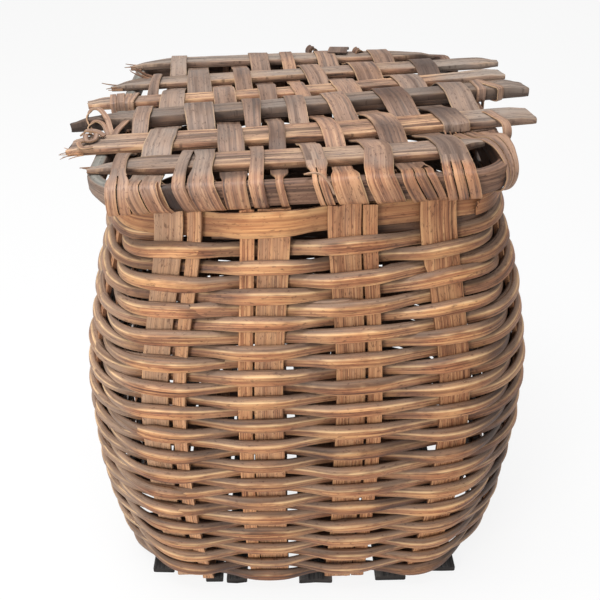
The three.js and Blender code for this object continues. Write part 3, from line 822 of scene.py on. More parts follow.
def upright_leg(unit_index, offset, tip, base_height):
    """Centres, across and face directions from the tip down to the base."""
    heights = np.linspace(tip, ROWS_BOTTOM + 2, max(int((tip - ROWS_BOTTOM) / (STEP * 1.6)), 8))
    at = np.full(len(heights), float(unit_index))
    middle = wall_at(at, heights)
    tangent = unit((wall_at(at + 0.05, heights) - wall_at(at - 0.05, heights)) * [1, 1, 0])
    slope = unit(np.gradient(middle, axis=0))
    out = unit(np.cross(tangent, UP))
    leg = middle + tangent * offset
    face = unit(out - slope * np.sum(out * slope, axis=1, keepdims=True))
    side_along, side_out = side_axes(unit_index // PER_SIDE)
    turn = np.linspace(0.25, 1.0, 4)[:, None] * math.pi / 2
    bend = leg[-1] - side_out * BEND_RADIUS * (1 - np.cos(turn))
    bend[:, 2:] = base_height + (leg[-1][2] - base_height) * (1 - np.sin(turn))
    normals = unit(side_out * np.cos(turn) - np.array(UP) * np.sin(turn))
    across = np.vstack([tangent, facing(side_along, len(bend))])
    return np.vstack([leg, bend]), across, np.vstack([face, normals])


def base_crossings(place, front_to_back):
    """The depths at which an upright crosses the others in the base, and its height at each."""
    heights = []
    for other in range(PER_SIDE):
        crossed = other if front_to_back else PER_SIDE - 1 - other
        low = (place + crossed) % 2 == (0 if front_to_back else 1)
        heights.append((-PLACES[other] * FOOT_HALF, BASE_LOW if low else BASE_HIGH))
    return np.array(sorted(heights, reverse=True))


def tip_patch(piece, unit_index, base_height):
    """The strip that lies over the top of an upright and tapers to its lower end."""
    leg = upright_leg(unit_index, PATCH_OFFSET, TIP_TOP - TIP_RISE, base_height)
    top = int(np.argmax(leg[0][:, 2] < PATCH_PLACE[0]))
    centres, across, faces = (part[:top] for part in leg)
    centres = centres + faces * (LEG_THICKNESS + PATCH_THICKNESS) * 0.5
    full = past(centres[:, 2], *PATCH_PLACE)
    piece.strip(
        centres - across * (1 - full)[:, None] * 3, across, faces, mix(PATCH_TIP, SINGLE_WIDTH - 1, full),
        PATCH_THICKNESS, grooved(piece.rng, PATCH_GROOVES), tone=0.56, rough=0.05, ragged=(1.2, 2.5),
        weather=-0.7)


def upright(name, unit_index, front_to_back):
    piece = Piece(name)
    rng = piece.rng
    side, place = divmod(unit_index, PER_SIDE)
    opposite = (side + 2) * PER_SIDE + PER_SIDE - 1 - place
    crossings = base_crossings(place, front_to_back)
    side_along, side_out = side_axes(side)
    for offset, width in lane_widths(unit_index):
        is_wide = width > NARROW_WIDTH
        tips = [BAND_TOP if at // PER_SIDE == 2 else TIP_TOP for at in (unit_index, opposite)]
        tips = [tip - abs(rng.normal(0, 0.5)) for tip in tips]
        start = upright_leg(unit_index, offset, tips[0], crossings[0][1])
        end = upright_leg(opposite, -offset, tips[1], crossings[-1][1])
        low, high = (np.dot(leg[0][-1], side_out) for leg in (start, end))
        depths = np.linspace(low - BASE_REACH, high + BASE_REACH, BASE_POINTS)
        base = side_along * (PLACES[place] * FOOT_HALF + offset) + depths[:, None] * side_out
        base[:, 2] = np.interp(-depths, -crossings[:, 0], crossings[:, 1])
        centres = np.vstack([start[0], base, end[0][::-1]])
        across = np.vstack([start[1], facing(side_along, len(base)), -end[1][::-1]])
        faces = np.vstack([start[2], facing(DOWN, len(base)), end[2][::-1]])
        along = lengths_along(centres)
        widths = width * uneven(rng, along, *LEG_UNEVEN)
        centres = centres + across * wander(rng, along, *LEG_SWAY)[:, None]
        tones = UPRIGHT_TONES.get(unit_index, UPRIGHT_TONE) + rng.uniform(-0.04, 0.04)
        tones = tones + wander(rng, along, *LEG_TONES)
        weather = UPRIGHT_WEATHER.get(unit_index, 0.0) - (0 if is_wide else NARROW_WEATHER)
        leg_thickness = LEG_THICKNESS if is_wide else NARROW_THICKNESS
        thick = mix(UPRIGHT_THICKNESS, leg_thickness, past(centres[:, 2], *RISEN_PLACE))
        centres = centres + faces * ((thick - UPRIGHT_THICKNESS) * LEG_OUT_SHARE)[:, None]
        section = grooved(rng, LEG_GROOVES if is_wide else NARROW_GROOVES)
        piece.strip(
            centres, across, faces, widths, thick, section, tone=tones, rough=0.05, ragged=(1.2, 1.2),
            weather=weather)
    if unit_index == PER_SIDE - 1:
        tip_patch(piece, unit_index, crossings[0][1])
    piece.place("basket", "upright", piece.name)


for place in range(PER_SIDE):
    upright(f"upright_front_back_{place + 1:02d}", place, True)
    upright(f"upright_side_side_{place + 1:02d}", PER_SIDE + place, False)

# Runners: place, width and reach as shares of the foot's half-width
RUNNERS = (
    (-0.81, 0.12, 0.9), (-0.52, 0.095, 0.97), (-0.39, 0.12, 0.98),
    (0.05, 0.18, 0.99), (0.475, 0.17, 0.98), (0.765, 0.155, 0.93),
)
RUNNER_POINTS = 40
RUNNER_SWAY = (80.0, 0.4)
RUNNER_UNEVEN = (50.0, 0.02)


def runner(index, place, width, reach):
    piece = Piece(f"base_runner_{index + 1:02d}")
    rng = piece.rng
    y = np.linspace(-reach * FOOT_HALF - 2, reach * FOOT_HALF + 2, RUNNER_POINTS)
    x = place * FOOT_HALF + wander(rng, y, *RUNNER_SWAY)
    centres = np.column_stack([x, y, np.full(len(y), RUNNER_MIDDLE)])
    widths = width * FOOT_HALF * (1 + wander(rng, y, *RUNNER_UNEVEN))
    piece.strip(
        centres, facing(RIGHT, len(y)), facing(UP, len(y)), widths, RUNNER_THICKNESS, LEVEL_SECTION, tone=0.6,
        rough=0.04, ragged=(1.5, 1.5))
    piece.place("basket", "runner", piece.name)


for index, sizes in enumerate(RUNNERS):
    runner(index, *sizes)

# The lid's hoop: flat at the front and sides, round along the back. Its rim's points have their
# distance round it, and how weathered and how light they are: the inner side and underside are
# darker, painted shade
FRONT_CORNER = 36.0
ARC_POINTS = 11
STRAIGHT_POINTS = 22
RIM_STEPS = (0, 12, 2, 2, 5, 2, 2, 12, 2, 2, 5, 2)
RIM_WEAR_AND_SHADE = [(0.35, 0.55)] * 3 + [(1.0, 0.6)] * 2 + [(0.35, 0.32)] * 6 + [(0.35, 0.55)]
RIM_GRAIN = 7.0
RIM_EDGE_SHARE = 0.3
LIFT = 5.0
LIFT_PLACE = (132.0, 14.0)
GREY_PLACE = (95.0, 40.0)
GREYER_SHARES = (0.25, 1.5)
LIGHTER_SHARES = (0.7, 1.05)
HOOP_WIDE_UNEVEN = (60.0, 0.02, -0.05, 0.02)
HOOP_TALL_UNEVEN = (60.0, 0.02, -0.05, 0.01)


def hoop_path():
    """The bar's middle line, from the right front corner round by the back."""
    signs = np.array([(1, -1), (1, 1), (-1, 1), (-1, -1)])
    radii = np.where(signs[:, 1] < 0, FRONT_CORNER, HOOP_CORNER)
    middles = signs * (HINGE_Y - radii)[:, None]
    shares = np.linspace(0, 1, STRAIGHT_POINTS)[1:-1, None]
    points = []
    for corner in range(4):
        turn = np.linspace(corner - 1, corner, ARC_POINTS) * math.pi / 2
        ways_out = np.column_stack([np.cos(turn), np.sin(turn)])
        arc = middles[corner] + radii[corner] * ways_out
        onward = (corner + 1) % 4
        points += [arc, mix(arc[-1], middles[onward] + radii[onward] * ways_out[-1], shares)]
    flat = np.vstack(points)
    return np.column_stack([flat, np.zeros(len(flat))])


def lid_hoop():
    piece = Piece("lid_hoop")
    rng = piece.rng
    centres = hoop_path()
    ahead = unit(np.roll(centres, -1, axis=0) - np.roll(centres, 1, axis=0))
    out = np.cross(ahead, UP)
    back = past(centres[:, 1], HINGE_Y - HOOP_CORNER, HOOP_CORNER)
    along = lengths_along(centres)
    w = mix(HOOP_THICKNESS, HINGE_BAR, back) * uneven(rng, along, *HOOP_WIDE_UNEVEN) / 2
    h = mix(HOOP_HEIGHT, HINGE_BAR, back) * uneven(rng, along, *HOOP_TALL_UNEVEN) / 2
    cut = mix(HOOP_CHAMFER, HINGE_BAR * (1 - math.sqrt(0.5)), back)
    edge = cut * RIM_EDGE_SHARE
    rim = [
        (w, cut - h), (w, h - cut), (w - edge, h - edge), (w - cut, h),
        (cut - w, h), (edge - w, h - edge), (-w, h - cut), (-w, cut - h),
        (edge - w, edge - h), (cut - w, -h), (w - cut, -h), (w - edge, edge - h),
    ]
    lifted = LIFT * past(-centres[:, 0], *LIFT_PLACE) * (1 - back)
    points = np.stack([
        centres + out * side[:, None] + np.array(UP) * (up + np.where(up < 0, lifted, 0))[:, None]
        for side, up in rim], axis=1)
    piece.points.extend(points.reshape(-1, 3))
    girth = np.cumsum(RIM_STEPS)
    for travelled, left in zip(along, past(-centres[:, 0], *GREY_PLACE)):
        greyer, lighter = mix(*GREYER_SHARES, left), mix(*LIGHTER_SHARES, left)
        piece.strand += [(travelled, distance, RIM_GRAIN) for distance in girth]
        # The rim's tone paints shade on the inner side and underside
        piece.wear_and_shade += [(0.0, worn * greyer, tone * lighter) for worn, tone in RIM_WEAR_AND_SHADE]
    piece.skin(0, len(centres), len(rim), closed=True)
    piece.place("lid", "hoop", piece.name)


lid_hoop()


# Loose fibres: how many points each has, how far it reaches into the wood, how far apart the
# fibres start, and limits of their lengths, widths and tones
FIBRE_POINTS = 7
FIBRE_ROOT = 3
FIBRE_SPREAD_SHARE = 0.45
FIBRE_LENGTH_SHARES = (0.5, 1.2)
FIBRE_WIDTHS = (0.9, 2.2)
FIBRE_TONES = (-0.1, 0.2)


def directions(path, face):
    """Across and face directions along a path that should face this way."""
    ahead = unit(np.gradient(path, axis=0))
    across = unit(np.cross(ahead, np.broadcast_to(face, path.shape)))
    return across, np.cross(across, ahead)


def slivers(piece, end, ahead, count, spread, length, thickness=0.7, tone=0.5, lift=0.25):
    """Loose fibres that stand out from a broken end."""
    rng = piece.rng
    ahead = unit(np.array(ahead, float))
    sideways = unit(np.cross(ahead, UP))
    share = np.linspace(0, 1, FIBRE_POINTS)[:, None]
    for place in np.linspace(-FIBRE_SPREAD_SHARE, FIBRE_SPREAD_SHARE, count):
        reach = length * rng.uniform(*FIBRE_LENGTH_SHARES)
        start = np.array(end) + sideways * place * spread - ahead * FIBRE_ROOT
        bend = sideways * rng.normal(0, 0.25) + np.array([0, 0, rng.uniform(-0.5, 1) * lift])
        path = start + ahead * share * (reach + FIBRE_ROOT) + bend * share**2 * reach
        width = rng.uniform(*FIBRE_WIDTHS) * (1 - 0.8 * share[:, 0])
        piece.strip(
            path, *directions(path, UP), width, thickness * (1 - 0.5 * share[:, 0]),
            tone=tone + rng.uniform(*FIBRE_TONES))


# Laths from the back: place, reach left and right, width and bow as shares, slope, tone, weather
# and how much thicker they are than the usual one, then how each end is worn: the length of its
# taper, the width left at its tip, and which edge keeps the tip
LATH_FIELDS = ("place", "left", "right", "width", "bow", "slope", "tone", "weather", "rise", "ends")
LATHS = [dict(zip(LATH_FIELDS, row)) for row in (
    (0.855, 1.03, 0.915, 0.98, -0.03, -0.06, 0.56, 0.2, 0, ((46, 0.1, -1.0), (50, 0.16, -0.3))),
    (0.52, 1.085, 1.245, 1.0, 0.0, 0.05, 0.6, 0.0, 0, ((34, 0.12, -0.7), (22, 0.4, -0.2))),
    (0.188, 1.17, 1.243, 0.88, 0.042, 0.082, 0.8, -0.4, 0, ((12, 0.55, 0.0), (7, 0.95, 0.3))),
    (-0.1, 1.18, 1.28, 0.98, 0.015, 0.1, 0.38, 0.5, 4.2, ((60, 0.12, -0.6), (4, 0.94, 0.4))),
    (-0.452, 1.13, 1.2, 1.3, 0.025, 0.06, 0.68, -0.35, 0, ((8, 0.86, 0.2), (4, 0.95, 0.0))),
    (-0.768, 0.985, 0.89, 1.17, 0.02, 0.012, 0.6, -0.05, 0, ((52, 0.14, -0.5), (46, 0.16, 0.9))),
)]
SPLINTERED = (0, 1, 5)
SPLINTERS = ((9.0, 1.2), (15.0, 3.4), (6.0, 2.2))
SPLINTER_ROOT = 8
LATH_END = 16
LATH_END_SHARE = 0.7
LATH_END_POWER = 0.8
LATH_SHARE = 0.98
RIGHT_END_WEATHER = 1.05
LEFT_END_WEATHER = 0.5
WEATHERED_PLACE = (110, 40)
LATH_WIDTH_UNEVEN = (40.0, 0.03, -0.08, 0.01)
LATH_THICKNESS_UNEVEN = (50.0, 0.05, -0.16, 0.0)
LATH_TONES = (45.0, 0.07)
LATH_WEATHER = (60.0, 0.2)


def lath_middle(lath, x):
    return LID_HALF * (lath["place"] + lath["bow"] * (x / LID_HALF) ** 2) + lath["slope"] * x


def lid_lath(index, lath):
    piece = Piece(f"lid_lath_{index + 1:02d}")
    rng = piece.rng
    x = np.arange(-lath["left"] * LID_HALF + 0.5, lath["right"] * LID_HALF - 0.5, STEP)
    width = lath["width"] * LATH_WIDTH
    widths = width * uneven(rng, x, *LATH_WIDTH_UNEVEN)
    thick = (LATH_THICKNESS * LATH_SHARE + lath["rise"]) * uneven(rng, x, *LATH_THICKNESS_UNEVEN)
    shift = np.zeros(len(x))
    for (taper, tip, bias), distance in zip(lath["ends"], (x - x[0], x[-1] - x)):
        narrow = mix(tip, 1.0, ease(distance / taper) ** LATH_END_POWER)
        shift += bias * width * (1 - narrow) / 2
        widths = widths * narrow
        thick = thick * mix(LATH_END_SHARE, 1.0, ease(distance / LATH_END))
    centres = np.column_stack([x, lath_middle(lath, x) + shift, LATH_BOTTOM + thick / 2])
    up = facing(UP, len(x))
    across = unit(np.cross(up, unit(np.gradient(centres, axis=0))))
    tones = lath["tone"] + wander(rng, x, *LATH_TONES)
    at_ends = np.where(x > 0, RIGHT_END_WEATHER, LEFT_END_WEATHER) * past(np.abs(x), *WEATHERED_PLACE)
    weather = lath["weather"] + wander(rng, x, *LATH_WEATHER) + at_ends
    piece.strip(
        centres, across, up, widths, thick, LATH_SECTION, tone=tones, rough=0.2, ragged=(2.5, 1.5),
        weather=weather)
    if index in SPLINTERED:
        for reach, low in SPLINTERS:
            end = (x[0] + SPLINTER_ROOT, centres[0][1] + rng.uniform(-1, 3), LATH_BOTTOM + low)
            ahead = (-1.0, rng.uniform(-0.05, 0.12), 0.05)
            slivers(piece, end, ahead, 2, 5.0, reach, thickness=1.2, tone=0.55, lift=0.1)
    piece.place("lid", "lath", piece.name)


for index, lath in enumerate(LATHS):
    lid_lath(index, lath)

# Splints from the left: 0 for those in step with one that passes over the front lath, 1 for the
# others, then the first and last lath from the front, and where the photo shows the splint going
# over laths: the lath, the pixel across the picture and the width in pixels. A wrap has the pixel
# at its top and at its foot, its width in pixels, how far it stands off the bar, and its slits
SPLINT_FIELDS = ("under", "first", "last", "pixels", "wrap")
WRAP_FIELDS = ("top_pixel", "foot_pixel", "width_pixels", "stand_off", "slits")
SPLINTS = [dict(zip(SPLINT_FIELDS, row)) for row in (
    (0, 0, 4, ((0, 120, 14), (2, 144, 17), (4, 157.5, 9)), (114.5, 118, 24, 1.6, (0.5,))),
    (1, 0, 5, ((1, 161.5, 29), (3, 173, 24), (5, 179, 15)), (141, 153, 38, 1.0, (0.42,))),
    (0, 0, 1, ((0, 185, 12),), (179, 193, 14, 1.5, ())),
    (0, 0, 5, ((0, 206, 20), (2, 199, 31), (4, 198, 22)), (200.5, 212.5, 27, 1.3, ())),
    (1, 0, 4, ((1, 230.5, 25.5), (3, 224.5, 22)), (233, 239, 24, 1.1, ())),
    (0, 0, 5, ((0, 257, 13.5), (2, 252, 18), (4, 242, 16.5)), (255, 262, 14.5, 0.9, ())),
    (1, 0, 5, ((1, 278.5, 16.5), (3, 266.5, 18), (5, 258.5, 20)), (279, 286.5, 8, 0.8, ())),
    (0, 0, 3, ((0, 313.5, 22), (2, 294, 19.5)), (319, 327, 16.5, 1.1, (0.4,))),
    (1, 0, 5, ((1, 328, 19), (3, 298.5, 14), (5, 286.5, 12)), (346, 354.5, 28, 1.2, ())),
    (0, 0, 5, ((0, 379.5, 28), (2, 335, 21.5), (4, 312, 19)), (382, 392, 28.5, 1.4, ())),
    (1, 0, 5, ((1, 385.5, 26), (3, 344.5, 23), (5, 324.5, 19)), (417.5, 431, 33, 1.2, (0.4, 0.74))),
    (0, 0, 5, ((0, 449, 28), (2, 391, 28), (4, 363.5, 25)), (460.5, 466, 33, 1.8, (0.3, 0.62))),
    (1, 1, 5, ((1, 450, 26), (3, 407, 26), (5, 378.5, 19)), ()),
    (0, 1, 5, ((2, 453, 25), (4, 421, 21)), ()),
)]
for shape in SPLINTS:
    shape["wrap"] = dict(zip(WRAP_FIELDS, shape["wrap"]))

TUCK_ANGLE = 24.0
WRAP_ANGLE = -262.0
BACK_ANGLE = -190.0
BAR_SQUARENESS = 2.25
WRAP_BEHIND = -139.0
WRAP_EASE = 12.0
SLIT_GAP = 1.0
SPLINT_UNEVEN = (30.0, 0.03, -0.07, 0.05)
SPLINT_SWAY = (50.0, 0.6)
SPLINT_TILT = (35.0, 0.05)
SPLINT_TONES = (40.0, 0.09)
OVER_GAP = 0.3
BACK_GAP = 0.4
UNDER_REACH = 2.0
OVER_SHORTER = 1.0
FIRST_REACH = 0.6
TALL_GAP_SHARE = 0.7
SPLINT_STEP_SHARE = 0.6
SPLINT_RAISE = 0.15

# How light and how weathered splints are, flat on the lid and rolled over the front bar. Pairs are
# at the lid's left and right, and the far right is as a share of the lid's half-width
FLAT_TONE = 0.47
FLAT_WEATHER = (0.8, 0.3)
ROLLED_TONE = 0.7
ROLLED_DARKER = 0.11
ROLLED_WEATHER = (0.5, -0.1)
ROLLED_REACH = 1.3
FAR_RIGHT_PLACE = (0.4, 0.4)
FAR_RIGHT_DARKER = 0.1
FAR_RIGHT_WEATHER = 0.45

# Broken ends: which end of the splint, where its fibres point, how many, and their length
BROKEN = {4: (-1, (0.1, 1.0, 0.12), 7, 9.0), 12: (0, (0.25, -1.0, -0.8), 6, 5.0)}
ACROSS = np.linspace(-1.3, 1.3, 79) * LID_HALF


def columns(points):
    """The pixel across the picture at which each point of the lid is seen."""
    pitch, yaw = math.radians(CAMERA_PITCH), math.radians(CAMERA_YAW)
    ahead = np.array([math.sin(yaw) * math.cos(pitch), math.cos(yaw) * math.cos(pitch), -math.sin(pitch)])
    right = np.array([math.cos(yaw), -math.sin(yaw), 0])
    away = lid_to_frame(points) - np.array(CAMERA_PLACE)
    return PICTURE_WIDTH * (0.5 + CAMERA_FOCAL * (away @ right) / (away @ ahead))


def seen_at(column, depths, height):
    """The place along a line across the lid that is seen at this pixel."""
    line = np.column_stack(np.broadcast_arrays(ACROSS, depths, height))
    return float(np.interp(column, columns(line), ACROSS))


def rounded(path, reach=7.0, steps=5):
    """The path with each corner replaced by a short curve."""
    path = np.asarray(path, float)
    points = [path[0]]
    for before, corner, after in zip(path, path[1:], path[2:]):
        into, away = corner - before, after - corner
        lengths = np.linalg.norm(into), np.linalg.norm(away)
        start = corner - into * min(reach, lengths[0] * 0.45) / lengths[0]
        end = corner + away * min(reach, lengths[1] * 0.45) / lengths[1]
        for share in np.linspace(0, 1, steps + 1):
            points.append(mix(mix(start, corner, share), mix(corner, end, share), share))
    points.append(path[-1])
    return np.array(points)


def evenly(path, step):
    travelled = lengths_along(path)
    at = np.linspace(0, travelled[-1], max(int(travelled[-1] / step), 3) + 1)
    return np.column_stack([np.interp(at, travelled, path[:, k]) for k in range(path.shape[1])])


def outward(flat, sideways=0.0):
    """Face directions of a strip that runs along depths and heights."""
    ahead = np.gradient(flat, axis=0)
    return np.column_stack(np.broadcast_arrays(sideways, -ahead[:, 1], ahead[:, 0]))


def ring(centre_y, centre_z, radius, start, end, steps=16):
    angles = np.radians(np.linspace(start, end, steps + 1))
    return [(centre_y + radius * math.cos(angle), centre_z + radius * math.sin(angle)) for angle in angles]


def front_wrap(gap, start=TUCK_ANGLE, steps=30):
    """Depth and height round the front bar, from inside under it to its top."""
    wide = HOOP_THICKNESS / 2 + SPLINT_MIDDLE + gap
    tall = HOOP_HEIGHT / 2 + SPLINT_MIDDLE + gap * TALL_GAP_SHARE
    angles = np.radians(np.linspace(start, WRAP_ANGLE, steps + 1))
    power = 2 / BAR_SQUARENESS
    y, z = (np.copysign(np.abs(turn(angles)) ** power, turn(angles)) for turn in (np.cos, np.sin))
    return list(zip(wide * y - HINGE_Y, tall * z))


def splint_track(shape):
    """Depths, places and widths along a lid splint, from where the photo shows it."""
    track = []
    for order, column, width in shape["pixels"]:
        lath = LATHS[-1 - order]
        depths = lath_middle(lath, ACROSS)
        edges = (column - width / 2, column, column + width / 2)
        low, x, high = (seen_at(edge, depths, LATH_TOP + SPLINT_THICKNESS) for edge in edges)
        track.append((lath_middle(lath, x), x, high - low))
    if shape["wrap"]:
        x = seen_at(shape["wrap"]["top_pixel"], -LID_HALF, HOOP_HEIGHT / 2)
        track.insert(0, (-HINGE_Y, x, track[0][2]))
    beyond = LID_HALF + HOOP_THICKNESS
    ends = []
    for (y, x, width), (inner_y, inner_x, _), depth in (
            (*track[:2], -beyond), (*track[:-3:-1], beyond)):
        ends.append((depth, x + (x - inner_x) / (y - inner_y) * (depth - y), width))
    return np.array([ends[0], *track, ends[1]]).T


def splint_path(shape, at_x):
    """Depth and height along a lid splint: round the front bar, over and under, round the back."""
    first, last, under = shape["first"], shape["last"], shape["under"]
    path = front_wrap(shape["wrap"]["stand_off"]) if first == 0 else []
    for order in range(first, last + 1):
        lath = LATHS[-1 - order]
        y = lath_middle(lath, at_x(lath["place"] * LID_HALF))
        reach, z = lath["width"] * LATH_WIDTH / 2 + UNDER_REACH, LATH_BOTTOM - SPLINT_MIDDLE
        if (order + under) % 2 == 0:
            reach, z = reach - OVER_SHORTER, LATH_TOP + lath["rise"] + SPLINT_MIDDLE + OVER_GAP
        path += [(y - reach, z), (y + reach, z)]
    if first > 0 and (first + under) % 2 == 0:
        path.insert(0, (path[0][0] - FIRST_REACH, LATH_BOTTOM))
    if last == len(LATHS) - 1:
        radius = HINGE_BAR / 2 + SPLINT_MIDDLE + BACK_GAP
        reached = path[-1][0]
        if under:
            path.append((reached, LATH_BOTTOM))
        meets = math.degrees(math.acos(min(max((reached - HINGE_Y) / radius, 0.0), 1.0)))
        path += ring(HINGE_Y, 0, radius, meets, BACK_ANGLE)
    return np.array(path)


def wrapped(wrap, x, y, z, widths, along):
    """Places and widths where a splint rolls over the front bar, and how far it does so."""
    top, wide = wrap["top_pixel"], wrap["width_pixels"]
    half = HOOP_HEIGHT / 2
    in_front = along < along[-1] / 2
    in_wrap = np.where(in_front & (z < half / 2), 1.0, ease((WRAP_BEHIND - y) / WRAP_EASE) * in_front)
    foot_x, top_x = seen_at(wrap["foot_pixel"], -LID_HALF, -half), seen_at(top, -LID_HALF, half)
    low, high = (seen_at(top + side * wide / 2, -LID_HALF, 0.0) for side in (-1, 1))
    rolled_x = foot_x + (top_x - foot_x) * np.minimum((z + half) / HOOP_HEIGHT, 1)
    return mix(x, rolled_x, in_wrap), mix(widths, high - low, in_wrap), in_wrap


def splint_wood(rng, x, z, along, in_wrap):
    """How light and how weathered a splint is along its length."""
    far_right = past(x / LID_HALF, *FAR_RIGHT_PLACE)
    flat_tones = FLAT_TONE - FAR_RIGHT_DARKER * far_right
    tones = mix(flat_tones, ROLLED_TONE - ROLLED_DARKER * ease(x / LID_HALF), in_wrap)
    tones = tones + rng.uniform(-0.1, 0.1) + wander(rng, along, *SPLINT_TONES)
    flat = mix(*FLAT_WEATHER, past(x, -LID_HALF, 2 * LID_HALF)) + FAR_RIGHT_WEATHER * far_right
    flat = flat + rng.uniform(-0.2, 0.2)
    rolled = mix(*ROLLED_WEATHER, past(x, -LID_HALF, ROLLED_REACH * LID_HALF))
    rolled = rolled * past(z, -HOOP_HEIGHT / 4, HOOP_HEIGHT)
    return tones, mix(flat, rolled, in_wrap)


def lid_splint(index, shape):
    piece = Piece(f"lid_splint_{index + 1:02d}")
    rng = piece.rng
    depths, places, seen_widths = splint_track(shape)

    def at_x(y):
        return np.interp(y, depths, places)

    flat = evenly(rounded(splint_path(shape, at_x)), STEP * SPLINT_STEP_SHARE)
    y, z = flat.T
    along = lengths_along(flat)
    x, widths, in_wrap, slits = at_x(y), np.interp(y, depths, seen_widths), np.zeros(len(y)), ()
    if shape["wrap"]:
        slits = shape["wrap"]["slits"]
        x, widths, in_wrap = wrapped(shape["wrap"], x, y, z, widths, along)
    centres = np.column_stack([x + wander(rng, along, *SPLINT_SWAY), y, z + SPLINT_RAISE])
    across, face = directions(centres, unit(outward(flat, wander(rng, along, *SPLINT_TILT))))
    widths = widths * uneven(rng, along, *SPLINT_UNEVEN)
    tones, weather = splint_wood(rng, x, z, along, in_wrap)
    strands = int(np.argmax(y > WRAP_BEHIND - WRAP_EASE / 4)) if slits else 0
    edges = [0.0, *slits, 1.0] if slits else []
    for low, high in zip(edges, edges[1:]):
        part = slice(0, strands + 3)
        shift = across[part] * (((low + high) / 2 - 0.5) * widths[part])[:, None]
        lift = face[part] * rng.uniform(0.0, 0.3)
        piece.strip(
            centres[part] + shift + lift, across[part], face[part], (high - low) * widths[part] - SLIT_GAP,
            SPLINT_THICKNESS, tone=tones[part] + rng.uniform(-0.04, 0.04), weather=weather[part], cap=1.0)
    rest = slice(max(strands - 1, 0), None)
    piece.strip(
        centres[rest], across[rest], face[rest], widths[rest], SPLINT_THICKNESS, tone=tones[rest], rough=0.05,
        ragged=(1.0, 3.0 if shape["last"] < len(LATHS) - 1 else 1.0), weather=weather[rest],
        cap=1.0 if slits else CAP_TONE)
    if index in BROKEN:
        end, ahead, count, length = BROKEN[index]
        slivers(piece, centres[end], ahead, count, widths[end], length)
    piece.place("lid", "splint", piece.name)


for index, shape in enumerate(SPLINTS):
    lid_splint(index, shape)


def smooth_band(piece, points, faces, width, tone=0.6, thickness=SPLINT_THICKNESS, shift=0.0, weather=0.4):
    """A strip of splint through a few points, facing these ways."""
    rows = np.arange(len(points))
    at = np.linspace(0, rows[-1], 8 * rows[-1] + 1)
    path = curve_through(points, at)
    across, face = directions(path, unit(curve_through(faces, at)))
    widths, shifts = (np.interp(at, rows, np.broadcast_to(value, len(rows))) for value in (width, shift))
    piece.strip(
        path + across * shifts[:, None], across, face, widths, thickness, tone=tone, ragged=(1.0, 1.0),
        weather=weather)


# Lashings round three laths and the hoop
LASH_GAP = 2.2
SQUEEZED = LATH_BOTTOM - 0.2


def turned(points, angle):
    c, s = math.cos(angle), math.sin(angle)
    return points @ np.array([[c, s, 0], [-s, c, 0], [0, 0, 1]])


def loop_strip(piece, half, low, high, width, angle, place, tone, lift=0.0):
    """A closed loop of splint, turned from square and pushed out by lift."""
    half, low, high = half + lift, low - lift, high + lift
    path = np.array([(-half, low), (half, low), (half, high), (-half, high), (-half, low), (half, low)])
    path[[0, -1]] = mix(path[0], path[1], 0.5)
    flat = evenly(rounded(path, 2.5), 2.0)
    centres = turned(np.column_stack([np.zeros(len(flat)), flat]), angle) + place
    piece.strip(
        centres, turned(facing(RIGHT, len(flat)), angle), unit(turned(-outward(flat), angle)), width,
        SPLINT_THICKNESS * 0.9, tone=tone, weather=0.45)


def round_bar(piece, side, lath, shift, slant, width):
    """A band round the hoop's side, tied up to the lath beside it."""
    x = side * HINGE_Y
    y = lath_middle(lath, x) + shift
    out, high = HOOP_THICKNESS / 2 + 1.5, HOOP_HEIGHT / 2 + 1.5
    corners = ((-out, high), (-out, 0), (-out, -high), (out, -high), (out, 0), (out, high))
    faces = [(-1, 0, 1), LEFT, (-1, 0, -1), (1, 0, -1), RIGHT, (1, 0, 1)]
    points = [(x + across, y + slant * across, up) for across, up in corners]
    smooth_band(piece, points, faces, width, tone=0.5)


def right_lashing():
    """Two crossed loops round a lath at the hoop's right side, and a strip on to the next lath."""
    piece = Piece("lath_lashing_01")
    lath = LATHS[3]
    for angle, x, width in ((0.06, 156.0, 7.5), (0.62, 164.5, 7.0)):
        half = (lath["width"] * LATH_WIDTH / 2 + 1.6) / math.cos(angle)
        high = LATH_TOP + lath["rise"] + SPLINT_MIDDLE
        loop_strip(piece, half, SQUEEZED, high, width, angle, [x, lath_middle(lath, x), 0.0], tone=0.62)
    round_bar(piece, 1, lath, -14, 0.25, 6.0)
    strip = [
        (150, -46, 8), (151.5, -52, 15.8), (156, -66, 16.4), (160, -80, 15.8), (161, -84.5, 8), (159, -82, 2)]
    smooth_band(piece, strip, [BACKWARD, UP, UP, UP, FORWARD, FORWARD], 7.0)
    piece.place("lid", "splint", piece.name)


def left_lashing():
    """Loops side by side round a lath and the hoop: each one's angle, place and width."""
    piece = Piece("lath_lashing_02")
    lath = LATHS[2]
    along, across = lath["width"] * LATH_WIDTH / 2 + LASH_GAP, HOOP_THICKNESS / 2 + LASH_GAP
    loops = ((0.16, -8.5, 5.2), (0.14, -1.8, 7.0), (0.02, 4.6, 5.4), (-0.1, 10.0, 5.0))
    for layer, (angle, shift, width) in enumerate(loops):
        x = shift - HINGE_Y
        half = min(along / max(math.cos(angle), 0.3), along + across)
        loop_strip(
            piece, half, -HOOP_HEIGHT / 2 - SPLINT_MIDDLE, LATH_TOP + SPLINT_MIDDLE, width, angle,
            [x, lath_middle(lath, x), 0.0], tone=0.58, lift=0.5 * (layer % 2))
    slivers(piece, (-134, 84, 14), (-1.0, 0.5, 0.1), 9, 12.0, 20.0, tone=0.28, thickness=1.2)
    strip = [(-131, -8, 9), (-134, -20, 15.8), (-140, -42, 16.6), (-145, -58, 14), (-147, -66, 7)]
    smooth_band(piece, strip, [UP, UP, UP, UP, FORWARD], 5.5)
    piece.place("lid", "splint", piece.name)


